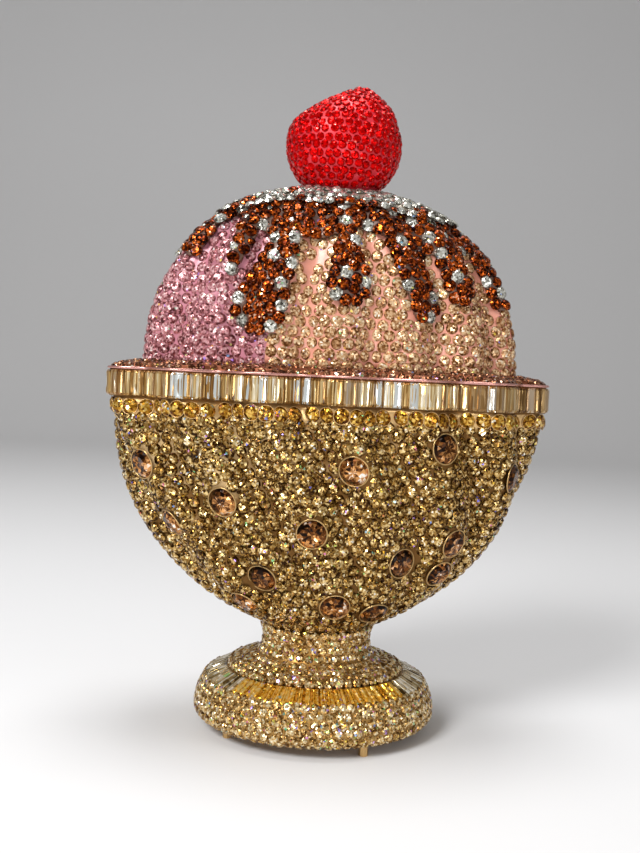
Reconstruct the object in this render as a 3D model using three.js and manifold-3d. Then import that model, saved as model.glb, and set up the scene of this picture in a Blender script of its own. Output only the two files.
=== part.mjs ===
// A crystal-covered ornament in the form of an ice cream sundae: an oval swirl-fluted
// glass on a foot, two scoops of ice cream, sauce, a cap of cream and a cherry.
// Millimetres, +Z up, the front faces -Y. Closed solids, stood one on the next.

import * as THREE from 'three';
import { mergeVertices } from 'three/addons/utils/BufferGeometryUtils.js';
import Module from 'manifold-3d';

const wasm = await Module();
wasm.setup();

// ---------------------------------------------------------------- driving dimensions

const GAP = 0.3; // between neighbouring solids
const STONE_RELIEF = 0.6; // how far the pavé of small stones rises and falls

// Levels, from the tips of the pins to the top of the cherry
const FOOT_BOTTOM = 2.6;
const FOOT_TOP = 12.5;
const STEM_BOTTOM = 15.7;
const BOWL_BOTTOM = 26.3;
const AMBER_BOTTOM = 79.6;
const BAND_BOTTOM = 84.2;
const FRAME_BOTTOM = 90.7;
const FLANGE_BOTTOM = 91.8;
const DOME_BOTTOM = 93.6;
const CHERRY_BOTTOM = 139.8; // where it rests on the top of the cream
const CHERRY_SIDES = 137.0; // its sides reach down round the cream no further than this
const CHERRY_WAIST = 150.0;
const CHERRY_TOP = 165.4;

// Half widths along X and half depths along Y
const RIM = { halfWidth: 57.3, halfDepth: 27.5, power: 2.5 };
const BOWL_RIM_HALF_WIDTH = 55.9;
const BOWL_RIM_HALF_DEPTH = 26.6;
const NECK = { halfWidth: 14.3, halfDepth: 12.6, power: 2 };
const DOME = { halfWidth: 48.8, halfDepth: 21.5, power: 2.4 };
const CHERRY = { halfWidth: 14.9, halfDepth: 13.6, power: 2 };
const FOOT_DEPTH_LESS = 3.0; // the foot is an oval this much shallower than wide

// Fluting: lobes round the glass and up the scoops, twisted on the glass only
const LOBES = 14;
const LOBE_START = -0.41; // where the first groove lies, in lobes from the front
const LOBE_ARC = 0.9; // half the angle that a lobe's rounded face turns through
const RIM_FLUTE = 4.2;
const DOME_FLUTE = 2.8;
const BOWL_TWIST = 1.4; // lobes of turn from the rim down to the stem
const GLASS_COLUMNS = LOBES * 4;
const GLASS_ROWS = 16;
const DOME_COLUMNS = LOBES * 3;
const DOME_ROWS = 9;
const FINE = 0.05; // faces smaller than this are merged after a cut

// Stones that are pieces of their own
const BAGUETTES_PER_LOBE = 10;
const FOOT_BAGUETTES = 84;
const AMBER_STONES = 77;
const CRYSTAL_RADIUS = 3.6;
const CRYSTAL_TABLE = 2.0;
const CRYSTAL_CROWN = 1.1;
const CRYSTAL_DEPTH = 0.9; // below the girdle
const CRYSTAL_SUNK = 0.4; // its girdle lies this far below the stones around it

// Places of the big crystals on one half of the glass: share of the way round, height
const CRYSTALS = [
  [-0.181, 67.6], [-0.170, 53.3], [-0.137, 33.6], [-0.103, 59.8], [-0.081, 41.1],
  [-0.016, 53.2], [0.020, 68.6], [0.020, 34.3], [0.092, 46.2], [0.098, 32.2],
  [0.103, 75.0], [0.144, 51.1], [0.151, 42.9], [0.187, 67.7],
];

// Four pins to stand on
const PIN_RADIUS = 1.15;
const PIN_RING = 25.6;
const PIN_ANGLES = [26, 121, 206, 301]; // degrees round from the front to the right

// Sauce and cream, drawn as seen from the front: x, height, and radius of a run of sauce
const SAUCE_THICKNESS = 1.0;
const CREAM_THICKNESS = 1.8;
const DOME_HEIGHT = CHERRY_BOTTOM - CREAM_THICKNESS - 2 * GAP - DOME_BOTTOM;
const SCOOP_PARTING = { x: -16.7, lean: 0.08 };
const SAUCE_EDGE = [
  [-34.4, 126.5], [-25.2, 130.6], [-16.4, 124.6], [-4, 124.6], [5.4, 128.2],
  [12.1, 125.5], [21.6, 121.8], [30.4, 122.5], [35.6, 125.2],
];
const FRONT_RUNS = [
  { from: [-32.9, 127, 2.6], to: [-35.8, 121.6, 2.2] },
  { from: [-22.4, 125.5, 3.1], to: [-25.3, 116.2, 1.5] },
  { from: [-12.5, 124.5, 3.8], to: [-18.5, 106.9, 6.5] },
  { from: [2.2, 126, 2.6], to: [3.0, 113.8, 5.6] },
  { from: [15.5, 125, 4.0], to: [22.2, 108.8, 3.7] },
  { from: [26.9, 123.5, 3.5], to: [30.9, 113.3, 3.5] },
  { from: [37.6, 123, 2.6], to: [43.1, 111.6, 2.1] },
];
const CREAM_EDGE = [
  [-30.6, 131.6], [-22.7, 132.4], [-12.8, 134.4], [-2.3, 133.8], [10.2, 133.4], [19.3, 131.6],
  [26.4, 131.2],
];

// ---------------------------------------------------------------- materials

const material = (name, color, roughness, metalness) =>
  new THREE.MeshStandardMaterial({ name, color, roughness, metalness });

const MATERIALS = {
  champagne: material('champagne_stones', 0xa98a55, 0.25, 0.3),
  footStones: material('foot_stones', 0xb09a6a, 0.25, 0.3),
  baguette: material('gold_baguettes', 0xc8a468, 0.15, 0.2),
  footBaguette: material('amber_baguettes', 0xbe781e, 0.15, 0.2),
  amber: material('amber_stones', 0xbe8728, 0.2, 0.2),
  topaz: material('topaz_crystals', 0x6e3c1e, 0.12, 0.2),
  metal: material('rose_gold_metal', 0xc8967f, 0.3, 0.9),
  flange: material('rose_brown_stones', 0xaa6450, 0.25, 0.3),
  pink: material('pink_stones', 0xc87f9a, 0.3, 0.1),
  peach: material('peach_stones', 0xd9a27f, 0.3, 0.1),
  sauce: material('cognac_stones', 0x6e3214, 0.2, 0.2),
  cream: material('clear_stones', 0xd8dcd8, 0.15, 0.1),
  cherry: material('red_stones', 0xc4000c, 0.25, 0.1),
};

// ---------------------------------------------------------------- outlines

const signedPower = (value, power) => Math.sign(value) * Math.abs(value) ** power;

/** A rounded lobe face, 1 on its crest and 0 in the grooves, for a place in lobes. */
function lobeFace(place) {
  const across = 2 * (place - Math.floor(place)) - 1;
  const edge = Math.cos(LOBE_ARC);
  return (Math.cos(LOBE_ARC * across) - edge) / (1 - edge);
}

/**
 * A closed oval outline as a function of the share of the way round, from the front to
 * the right. Shares are equal steps of length along a superellipse, and `flute` presses
 * the outline in between the lobes.
 */
function ovalOutline({ halfWidth, halfDepth, power, flute = 0, turn = 0 }) {
  const STEPS = 480;
  const points = [];
  const lengths = [0];
  for (let i = 0; i <= STEPS; i += 1) {
    const angle = (2 * Math.PI * i) / STEPS;
    points.push(new THREE.Vector2(
      halfWidth * signedPower(Math.sin(angle), 2 / power),
      -halfDepth * signedPower(Math.cos(angle), 2 / power),
    ));
    if (i > 0) lengths.push(lengths[i - 1] + points[i].distanceTo(points[i - 1]));
  }
  const total = lengths[STEPS];

  return (share) => {
    const wanted = (share - Math.floor(share)) * total;
    let step = 1;
    while (step < STEPS && lengths[step] < wanted) step += 1;
    const within = (wanted - lengths[step - 1]) / (lengths[step] - lengths[step - 1]);
    const point = points[step - 1].clone().lerp(points[step], within);
    if (flute === 0) return point;
    const along = points[step].clone().sub(points[step - 1]).normalize();
    const inward = new THREE.Vector2(-along.y, along.x);
    const dip = flute * (1 - lobeFace(share * LOBES - LOBE_START - turn));
    return point.addScaledVector(inward, dip);
  };
}

/** One ring of points at a height, `columns` of them, following the twist of the lobes. */
function ring(section, z, columns, relief = null) {
  const outline = ovalOutline(section);
  const turn = section.turn ?? 0;
  const centreX = section.centreX ?? 0;
  const points = [];
  for (let column = 0; column < columns; column += 1) {
    const share = column / columns + (LOBE_START + turn) / LOBES;
    const flat = outline(share);
    const shrink = relief ? 1 - relief(column) / flat.length() : 1;
    points.push(new THREE.Vector3(centreX + flat.x * shrink, flat.y * shrink, z));
  }
  return points;
}

// ---------------------------------------------------------------- solids

/** A closed geometry through rings of equal size, the ends closed to a middle point. */
function stackGeometry(rings) {
  const columns = rings[0].length;
  const middle = (points) => points
    .reduce((sum, point) => sum.add(point), new THREE.Vector3())
    .divideScalar(points.length);
  const vertices = [...rings.flat(), middle(rings[0]), middle(rings.at(-1))];
  const bottom = vertices.length - 2;
  const top = vertices.length - 1;
  const lastRow = (rings.length - 1) * columns;
  const indices = [];
  for (let column = 0; column < columns; column += 1) {
    const next = (column + 1) % columns;
    for (let row = 0; row < rings.length - 1; row += 1) {
      const low = row * columns;
      const high = low + columns;
      indices.push(low + column, low + next, high + next);
      indices.push(low + column, high + next, high + column);
    }
    indices.push(bottom, next, column);
    indices.push(top, lastRow + column, lastRow + next);
  }
  const geometry = new THREE.BufferGeometry();
  geometry.setFromPoints(vertices);
  geometry.setIndex(indices);
  return geometry;
}

function toManifold(geometry) {
  const bare = new THREE.BufferGeometry();
  bare.setAttribute('position', geometry.getAttribute('position').clone());
  if (geometry.index) bare.setIndex(geometry.index.clone());
  const merged = mergeVertices(bare, 1e-5);
  return new wasm.Manifold(new wasm.Mesh({
    numProp: 3,
    vertProperties: new Float32Array(merged.getAttribute('position').array),
    triVerts: new Uint32Array(merged.index.array),
  }));
}

function toGeometry(solid) {
  const { numProp, vertProperties, triVerts } = solid.getMesh();
  const geometry = new THREE.BufferGeometry();
  const positions = new Float32Array((vertProperties.length / numProp) * 3);
  for (let i = 0; i < positions.length / 3; i += 1) {
    positions.set(vertProperties.subarray(i * numProp, i * numProp + 3), i * 3);
  }
  geometry.setAttribute('position', new THREE.BufferAttribute(positions, 3));
  geometry.setIndex([...triVerts]);
  return geometry;
}

function addMesh(parent, name, geometry, meshMaterial) {
  geometry.computeVertexNormals();
  const mesh = new THREE.Mesh(geometry, meshMaterial);
  mesh.name = name;
  parent.add(mesh);
  return mesh;
}

/** A pavé of stones: every other point of a grid of rings lies a little deeper. */
const pave = (row) => (column) => ((row + column) % 2 === 0 ? 0 : STONE_RELIEF);

/** A row of stones side by side: every other point of a ring lies in a joint. */
const jointed = (depth) => (column) => (column % 2 === 0 ? depth : 0);

const lerp = THREE.MathUtils.lerp;

// ---------------------------------------------------------------- foot and stem

function footSection(halfWidth) {
  return { halfWidth, halfDepth: halfWidth - FOOT_DEPTH_LESS, power: 2 };
}

function buildFoot() {
  const foot = new THREE.Group();
  foot.name = 'foot';

  const rimProfile = [
    [29.9, FOOT_BOTTOM], [31.0, 3.5], [31.4, 5.0], [31.2, 7.5], [30.4, 10.1], [29.2, FOOT_TOP],
  ];
  const rimRings = rimProfile.map(([halfWidth, z], row) =>
    ring(footSection(halfWidth), z, 42, row > 0 && row < 5 ? pave(row) : null));
  addMesh(foot, 'foot_rim', stackGeometry(rimRings), MATERIALS.footStones);

  const coneRings = [
    ring(footSection(29.0), FOOT_TOP + GAP, FOOT_BAGUETTES * 2, jointed(0.35)),
    ring(footSection(23.3), STEM_BOTTOM - GAP, FOOT_BAGUETTES * 2, jointed(0.35)),
  ];
  addMesh(foot, 'foot_baguettes', stackGeometry(coneRings), MATERIALS.footBaguette);

  const stemProfile = [
    [22.8, 3.0, STEM_BOTTOM], [22.2, 2.9, 16.7], [19.4, 2.5, 17.7], [16.2, 2.1, 18.7],
    [14.6, 1.8, 20.5], [14.2, 1.7, 23.4], [14.8, 1.8, BOWL_BOTTOM - GAP],
  ];
  const stemRings = stemProfile.map(([halfWidth, less, z], row) =>
    ring({ halfWidth, halfDepth: halfWidth - less, power: 2 }, z, 36,
      row > 0 && row < 6 ? pave(row) : null));
  addMesh(foot, 'stem', stackGeometry(stemRings), MATERIALS.footStones);

  PIN_ANGLES.forEach((degrees, index) => {
    const height = FOOT_BOTTOM - GAP;
    const angle = THREE.MathUtils.degToRad(degrees);
    const pin = new THREE.CylinderGeometry(PIN_RADIUS, PIN_RADIUS, height, 8);
    pin.rotateX(Math.PI / 2);
    pin.translate(PIN_RING * Math.sin(angle), -PIN_RING * Math.cos(angle), height / 2);
    addMesh(foot, `foot_pin_${index + 1}`, pin, MATERIALS.metal);
  });
  return foot;
}

// ---------------------------------------------------------------- the swirled glass

/** Half width of the glass at a height: part of an ellipse that runs into the neck. */
function bowlHalfWidth(z) {
  const ELLIPSE_CENTRE = 87;
  const ELLIPSE_HEIGHT = 61.4;
  const FILLET = 3;
  const down = Math.min((ELLIPSE_CENTRE - z) / ELLIPSE_HEIGHT, 1);
  const wide = BOWL_RIM_HALF_WIDTH * Math.sqrt(1 - down ** 2);
  return (wide + NECK.halfWidth + Math.hypot(wide - NECK.halfWidth, FILLET)) / 2;
}

function bowlSection(z) {
  const halfWidth = bowlHalfWidth(z);
  const open = THREE.MathUtils.clamp(
    (halfWidth - NECK.halfWidth) / (BOWL_RIM_HALF_WIDTH - NECK.halfWidth), 0, 1);
  return {
    halfWidth,
    halfDepth: lerp(NECK.halfDepth, BOWL_RIM_HALF_DEPTH, open ** 0.75),
    power: lerp(NECK.power, RIM.power, open),
    flute: RIM_FLUTE * open ** 1.5,
    turn: BOWL_TWIST * (BAND_BOTTOM - z) / (BAND_BOTTOM - BOWL_BOTTOM),
  };
}

/** Heights of the rows, at equal steps up the slope of the glass. */
function bowlHeights() {
  const top = AMBER_BOTTOM - GAP;
  const STEP = 0.1;
  const along = [0];
  for (let z = BOWL_BOTTOM; z < top; z += STEP) {
    along.push(along.at(-1) + Math.hypot(STEP, bowlHalfWidth(z + STEP) - bowlHalfWidth(z)));
  }
  const heights = [];
  for (let row = 0; row < GLASS_ROWS; row += 1) {
    const wanted = (along.at(-1) * row) / (GLASS_ROWS - 1);
    const place = along.findIndex((length) => length >= wanted - 1e-9);
    heights.push(Math.min(BOWL_BOTTOM + place * STEP, top));
  }
  return heights;
}

/** Where a big crystal sits: the middle of its girdle and the way its table faces. */
function crystalSeat(share, z) {
  const at = (s, h) => {
    const flat = ovalOutline({ ...bowlSection(h), flute: 0 })(s);
    return new THREE.Vector3(flat.x, flat.y, h);
  };
  const middle = at(share, z);
  const right = at(share + 0.005, z).sub(middle);
  const up = at(share, z + 1).sub(middle);
  const outward = right.cross(up).normalize();
  const section = bowlSection(z);
  const dip = section.flute * (1 - lobeFace(share * LOBES - LOBE_START - section.turn));
  const centre = middle.addScaledVector(outward, -dip * 0.8 - CRYSTAL_SUNK);
  return { centre, outward };
}

function octagon(radius, z) {
  const points = [];
  for (let side = 0; side < 8; side += 1) {
    const angle = (side * Math.PI) / 4;
    points.push(new THREE.Vector3(radius * Math.cos(angle), radius * Math.sin(angle), z));
  }
  return points;
}

/** A round-cut crystal: back, girdle and table, its sloping crown in eight faces. */
function crystalGeometry() {
  return stackGeometry([
    octagon(CRYSTAL_RADIUS, -CRYSTAL_DEPTH),
    octagon(CRYSTAL_RADIUS, 0),
    octagon(CRYSTAL_TABLE, CRYSTAL_CROWN),
  ]);
}

/** The hole that is cut for a crystal, a gap larger all round and open outwards. */
function seatGeometry() {
  const radius = CRYSTAL_RADIUS + GAP;
  return stackGeometry([
    octagon(radius, -CRYSTAL_DEPTH - GAP),
    octagon(radius, CRYSTAL_CROWN + 3),
  ]);
}

function buildGlass() {
  const glass = new THREE.Group();
  glass.name = 'glass';

  const heights = bowlHeights();
  const rings = heights.map((z, row) => {
    const inside = row > 0 && row < heights.length - 1;
    return ring(bowlSection(z), z, GLASS_COLUMNS, inside ? pave(row) : null);
  });
  let bowl = toManifold(stackGeometry(rings));

  let number = 0;
  for (const half of [0, 0.5]) {
    for (const [share, z] of CRYSTALS) {
      number += 1;
      const { centre, outward } = crystalSeat(share + half, z);
      const aim = new THREE.Quaternion()
        .setFromUnitVectors(new THREE.Vector3(0, 0, 1), outward);
      const seat = seatGeometry();
      seat.applyQuaternion(aim);
      seat.translate(centre.x, centre.y, centre.z);
      bowl = bowl.subtract(toManifold(seat));
      const label = String(number).padStart(2, '0');
      const crystal = addMesh(glass, `crystal_${label}`, crystalGeometry(), MATERIALS.topaz);
      crystal.quaternion.copy(aim);
      crystal.position.copy(centre);
    }
  }
  addMesh(glass, 'bowl', toGeometry(bowl.simplify(FINE)), MATERIALS.champagne);

  const amberSection = { ...RIM, halfWidth: 56.4, halfDepth: 26.9, flute: RIM_FLUTE };
  const amberRings = [AMBER_BOTTOM, BAND_BOTTOM - GAP]
    .map((z) => ring(amberSection, z, AMBER_STONES * 2, jointed(0.6)));
  addMesh(glass, 'amber_row', stackGeometry(amberRings), MATERIALS.amber);

  const bandSection = { ...RIM, flute: RIM_FLUTE };
  const bandRings = [BAND_BOTTOM, FRAME_BOTTOM - GAP]
    .map((z) => ring(bandSection, z, LOBES * BAGUETTES_PER_LOBE * 2, jointed(0.4)));
  addMesh(glass, 'rim_baguettes', stackGeometry(bandRings), MATERIALS.baguette);

  const frameRings = [FRAME_BOTTOM, FLANGE_BOTTOM - GAP]
    .map((z) => ring(bandSection, z, GLASS_COLUMNS, () => 0.2));
  addMesh(glass, 'rim_frame', stackGeometry(frameRings), MATERIALS.metal);

  const flangeProfile = [[56.6, 26.9, 4.0], [55.2, 26.0, 3.8], [49.6, 22.6, 2.9]];
  const flangeHeights = [FLANGE_BOTTOM, 92.4, DOME_BOTTOM - GAP];
  const flangeRings = flangeProfile.map(([halfWidth, halfDepth, flute], row) =>
    ring({ halfWidth, halfDepth, flute, power: RIM.power }, flangeHeights[row], GLASS_COLUMNS,
      row === 1 ? pave(row) : null));
  addMesh(glass, 'rim_flange', stackGeometry(flangeRings), MATERIALS.flange);
  return glass;
}

// ---------------------------------------------------------------- ice cream

/** The scoops' section at a share of the dome's height, `out` beyond their surface. */
function domeSection(rise, out) {
  const inX = (1 - rise ** 2.3) ** (1 / 2);
  const inY = (1 - rise ** 2.6) ** (1 / 2.2);
  return {
    halfWidth: DOME.halfWidth * inX + out,
    halfDepth: DOME.halfDepth * inY + out,
    power: lerp(DOME.power, 2, rise),
    flute: DOME_FLUTE * inX ** 1.5,
  };
}

/** The whole dome of ice cream, or a larger copy that sauce and cream are cut from. */
function domeSolid(out = 0, relief = false) {
  const TOP_RISE = 0.9975;
  const rings = [];
  for (let row = 0; row <= DOME_ROWS; row += 1) {
    const rise = Math.sin((row / DOME_ROWS) * Math.asin(TOP_RISE));
    const z = DOME_BOTTOM + (rise / TOP_RISE) * DOME_HEIGHT + out;
    const inside = relief && row > 0 && row < DOME_ROWS;
    rings.push(ring(domeSection(rise, out), z, DOME_COLUMNS, inside ? pave(row) : null));
  }
  return toManifold(stackGeometry(rings));
}

/** A shape drawn from one side, pushed through that half. Quarter turns from the front. */
function drawnThrough(shape, quarterTurns) {
  const block = new THREE.ExtrudeGeometry(shape, {
    depth: 62,
    bevelEnabled: false,
    curveSegments: 3,
  });
  block.rotateX(Math.PI / 2);
  block.rotateZ((quarterTurns * Math.PI) / 2);
  return toManifold(block);
}

/** One run of sauce: a round end, a round start and straight sides between them. */
function runShape({ from, to }) {
  const [x1, z1, r1] = from;
  const [x2, z2, r2] = to;
  const heading = Math.atan2(z2 - z1, x2 - x1);
  const spread = Math.acos((r1 - r2) / Math.hypot(x2 - x1, z2 - z1));
  const shape = new THREE.Shape();
  shape.absarc(x1, z1, r1, heading + spread, heading - spread + 2 * Math.PI, false);
  shape.absarc(x2, z2, r2, heading - spread, heading + spread, false);
  return shape;
}

/** Everything above a drawn edge, carried level out to both sides. */
function aboveShape(edge, lift = 0) {
  const first = edge[0];
  const last = edge.at(-1);
  const SIDE = 62;
  const TOP = 150;
  const shape = new THREE.Shape();
  shape.moveTo(-SIDE, TOP);
  shape.lineTo(-SIDE, first[1] + lift);
  for (const [x, z] of edge) shape.lineTo(x, z + lift);
  shape.lineTo(SIDE, last[1] + lift);
  shape.lineTo(SIDE, TOP);
  return shape;
}

function buildScoops(iceCream) {
  const dome = domeSolid(0, true);
  const normal = new THREE.Vector3(1, 0, -SCOOP_PARTING.lean).normalize();
  const offset = normal.dot(new THREE.Vector3(SCOOP_PARTING.x, 0, DOME_BOTTOM));
  const right = dome.trimByPlane(normal.toArray(), offset + GAP / 2);
  const left = dome.trimByPlane(normal.clone().negate().toArray(), -offset + GAP / 2);
  addMesh(iceCream, 'scoop_pink', toGeometry(left), MATERIALS.pink);
  addMesh(iceCream, 'scoop_peach', toGeometry(right), MATERIALS.peach);
}

function buildToppings(iceCream) {
  const under = domeSolid(GAP);
  const sauceCoat = domeSolid(GAP + SAUCE_THICKNESS).subtract(under);
  const creamCoat = domeSolid(GAP + CREAM_THICKNESS).subtract(under);
  const frontAndBack = (shape) => drawnThrough(shape, 0).add(drawnThrough(shape, 2));

  let sauceArea = frontAndBack(aboveShape(SAUCE_EDGE));
  for (const run of FRONT_RUNS) sauceArea = sauceArea.add(frontAndBack(runShape(run)));
  sauceArea = sauceArea.subtract(frontAndBack(aboveShape(CREAM_EDGE)));
  const sauce = sauceCoat.intersect(sauceArea).simplify(FINE);
  addMesh(iceCream, 'sauce', toGeometry(sauce), MATERIALS.sauce);

  const creamArea = frontAndBack(aboveShape(CREAM_EDGE, GAP));
  const cream = creamCoat.intersect(creamArea).simplify(FINE);
  addMesh(iceCream, 'cream_cap', toGeometry(cream), MATERIALS.cream);
}

/** A cherry whose seat follows the cream, with a crown that leans to the right. */
function buildCherry(iceCream) {
  const ROWS = 11;
  const SEAT_DROP = 14.3; // the lower half would close this far below the waist
  const CREST = 15.9; // the crown would come to a tip this far above it
  const rings = [];
  for (let row = 0; row < ROWS; row += 1) {
    const z = lerp(CHERRY_SIDES, CHERRY_TOP, row / (ROWS - 1));
    const up = z - CHERRY_WAIST;
    const size = up < 0
      ? Math.sqrt(1 - (up / SEAT_DROP) ** 2)
      : 1 - (up / CREST) ** 2.3;
    const section = {
      halfWidth: CHERRY.halfWidth * size,
      halfDepth: CHERRY.halfDepth * size,
      power: CHERRY.power,
      centreX: 1.4 + 0.42 * Math.max(0, up - 5.5),
    };
    rings.push(ring(section, z, 22, row > 0 && row < ROWS - 1 ? pave(row) : null));
  }
  const ball = toManifold(stackGeometry(rings));
  const seated = ball.subtract(domeSolid(CREAM_THICKNESS + 2 * GAP)).simplify(FINE);
  addMesh(iceCream, 'cherry', toGeometry(seated), MATERIALS.cherry);
}

function buildIceCream() {
  const iceCream = new THREE.Group();
  iceCream.name = 'ice_cream';
  buildScoops(iceCream);
  buildToppings(iceCream);
  buildCherry(iceCream);
  return iceCream;
}

// ---------------------------------------------------------------- the sundae

const group = new THREE.Group();
group.name = 'ice_cream_sundae';
group.add(buildFoot(), buildGlass(), buildIceCream());

export default group;
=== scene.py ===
"""Dresses the sundae ornament: cut stones on satin metal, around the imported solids.

Sizes in the functions are millimetres and are made metres where a mesh is filled.
"""
import math
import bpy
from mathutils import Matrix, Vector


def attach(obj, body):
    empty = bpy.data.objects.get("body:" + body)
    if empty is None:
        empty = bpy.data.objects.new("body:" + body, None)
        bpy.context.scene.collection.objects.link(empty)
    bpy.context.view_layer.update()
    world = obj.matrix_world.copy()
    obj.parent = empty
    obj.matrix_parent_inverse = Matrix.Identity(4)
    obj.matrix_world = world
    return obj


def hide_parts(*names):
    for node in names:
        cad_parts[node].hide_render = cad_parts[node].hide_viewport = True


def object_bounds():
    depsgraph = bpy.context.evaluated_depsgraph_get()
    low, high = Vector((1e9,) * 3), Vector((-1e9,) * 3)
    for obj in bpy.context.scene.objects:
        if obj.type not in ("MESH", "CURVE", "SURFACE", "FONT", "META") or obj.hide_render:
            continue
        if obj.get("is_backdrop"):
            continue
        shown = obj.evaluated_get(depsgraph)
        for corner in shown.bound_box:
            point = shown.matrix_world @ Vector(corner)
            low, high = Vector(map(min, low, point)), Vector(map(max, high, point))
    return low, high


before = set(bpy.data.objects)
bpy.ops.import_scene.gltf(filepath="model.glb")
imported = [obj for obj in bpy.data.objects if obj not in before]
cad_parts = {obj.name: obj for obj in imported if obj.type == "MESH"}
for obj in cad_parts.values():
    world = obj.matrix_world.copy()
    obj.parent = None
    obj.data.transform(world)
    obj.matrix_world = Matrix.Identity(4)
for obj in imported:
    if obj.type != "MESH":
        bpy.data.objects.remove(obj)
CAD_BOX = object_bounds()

from types import SimpleNamespace

import bmesh
import bpy
import numpy as np
from bpy.props import FloatProperty, FloatVectorProperty, IntProperty, PointerProperty
from mathutils import Matrix, Vector

bl_info = {
    "name": "Sundae Ornament",
    "version": (1, 0, 0),
    "blender": (4, 5, 0),
    "location": "View3D > Sidebar > Sundae",
    "description": "Sets an ice cream sundae ornament with cut stones",
    "category": "Add Mesh",
}

MM = 0.001
SEED = 14

# ---------------- driving dimensions

LOBES = 14
LOBE_START = -0.41      # where the first groove lies, in lobes from the front
LOBE_ARC = 0.9          # half the angle that a lobe's rounded face turns through
GROOVE_SOFTNESS = 0.25  # rounding of the grooves between lobes, in half lobes
RIM_FLUTE = 4.2
DOME_FLUTE = 2.8
BOWL_TWIST = 1.4        # lobes of turn from the rim down to the stem

FOOT_BOTTOM, FOOT_TOP = 2.6, 12.5
CONE_BOTTOM, CONE_TOP = 12.8, 15.4
STEM_BOTTOM, STEM_TOP = 15.7, 26.0
BOWL_BOTTOM, BOWL_TOP = 26.3, 79.3
AMBER_BOTTOM, AMBER_TOP = 79.6, 83.9
BAND_BOTTOM, BAND_TOP = 84.2, 90.4
FRAME_BOTTOM, FRAME_TOP = 90.7, 91.5
FLANGE_TOP = 93.3
DOME_BOTTOM, DOME_HEIGHT = 93.6, 43.8
CHERRY_BOTTOM, CHERRY_WAIST, CHERRY_TOP = 137.0, 150.0, 165.4

# Half widths and half depths
GLASS_WIDTH, GLASS_DEPTH, NECK_WIDTH, NECK_DEPTH = 55.9, 26.6, 14.3, 12.6
RIM_WIDTH, RIM_DEPTH = 57.3, 27.5
DOME_WIDTH, DOME_DEPTH = 48.8, 21.5
CHERRY_WIDTH, CHERRY_DEPTH = 14.9, 13.6
CHERRY_X = 1.4          # how far right of the middle the cherry sits

SAUCE_LIFT = 1.3        # outside of the sauce, off the scoops
CREAM_LIFT = 2.1
CRYSTAL_RADIUS = 3.6
AMBER_STONES, CONE_BAGUETTES = 77, 84

# Middle of each large crystal on one half of the glass: share of the way round, height
CRYSTALS = [
    (-0.181, 67.6), (-0.170, 53.3), (-0.137, 33.6), (-0.103, 59.8), (-0.081, 41.1),
    (-0.016, 53.2), (0.020, 68.6), (0.020, 34.3), (0.092, 46.2), (0.098, 32.2),
    (0.103, 75.0), (0.144, 51.1), (0.151, 42.9), (0.187, 67.7),
]

# In pitches: too near while the stones settle, too near at the end, room for one more stone,
# and room for a smaller one
CROWDED, OVERLAP, HOLE, GAP = 0.8, 0.74, 0.78, 0.61
SMALLEST, SMALLER = 0.36, 0.62  # the smaller stones, as shares of a full one
GIRDLE_DEPTH = 0.5      # from the surface down to a stone's girdle
ROUNDS = 24             # pushes before the stones have settled
SHELF_STONE, CREAM_STONE = 2.15, 2.75

# Seen from the front: x, height, and a run's radius at its start and at its end
SAUCE_EDGE = [(-34.4, 126.5), (-25.2, 130.6), (-16.4, 124.6), (-4, 124.6), (5.4, 128.2),
              (12.1, 125.5), (21.6, 121.8), (30.4, 122.5), (35.6, 125.2)]
SAUCE_RUNS = [
    ((-32.9, 127, 2.6), (-35.8, 121.6, 2.2)), ((-22.4, 125.5, 3.1), (-25.3, 116.2, 1.5)),
    ((-12.5, 124.5, 3.8), (-18.5, 106.9, 6.5)), ((2.2, 126, 2.6), (3.0, 113.8, 5.6)),
    ((15.5, 125, 4.0), (22.2, 108.8, 3.7)), ((26.9, 123.5, 3.5), (30.9, 113.3, 3.5)),
    ((37.2, 123, 2.5), (42.5, 111.6, 2.1)),
]
CREAM_EDGE = [(-30.6, 131.6), (-22.7, 132.4), (-12.8, 134.4), (-2.3, 133.8), (10.2, 133.4),
              (19.3, 131.6), (26.4, 131.2)]
PARTING_X, PARTING_LEAN = -16.7, 0.08


def srgb(red, green, blue):
    """A colour given as seen, 0 to 255, made linear."""
    return tuple((value / 255) ** 2.2 for value in (red, green, blue))


# ---------------- what a user may change

def length(name, description, millimetres):
    return FloatProperty(name=name, description=description, default=millimetres * MM,
                         min=0.0001, unit="LENGTH", precision=4)


def colour(name, description, *rgb):
    return FloatVectorProperty(name=name, description=description, default=srgb(*rgb),
                               size=3, min=0, max=1, subtype="COLOR")


class SundaeSizes(bpy.types.PropertyGroup):
    glass_stone: length("Glass stone", "Diameter of the small stones on the glass", 3.1)
    scoop_stone: length("Scoop stone", "Diameter of the stones on the scoops", 3.05)
    sauce_stone: length("Sauce stone", "Diameter of the stones in the sauce", 3.15)
    cherry_stone: length("Cherry stone", "Diameter of the stones on the cherry", 2.2)
    foot_stone: length("Foot stone", "Diameter of the stones on foot and stem", 2.45)
    amber_stone: length("Amber stone", "Diameter of the stones in the row under the rim", 3.95)
    baguettes: IntProperty(name="Rim baguettes", default=10, min=4, max=20,
                           description="Baguettes in each lobe of the rim")


class SundaeColours(bpy.types.PropertyGroup):
    champagne: colour("Champagne", "Body of the stones on the glass", 158, 119, 56)
    amber: colour("Amber", "Body of the stones under the rim", 176, 124, 34)
    topaz: colour("Topaz", "Body of the large crystals", 110, 64, 26)
    pink: colour("Pink", "Body of the pink scoop's stones", 180, 116, 120)
    peach: colour("Peach", "Body of the peach scoop's stones", 196, 151, 108)
    cognac: colour("Cognac", "Body of the sauce's stones", 104, 41, 10)
    red: colour("Red", "Body of the cherry's stones", 214, 0, 3)
    clear: colour("Clear", "Body of the cream's stones", 200, 198, 186)


# ---------------- materials

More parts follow.
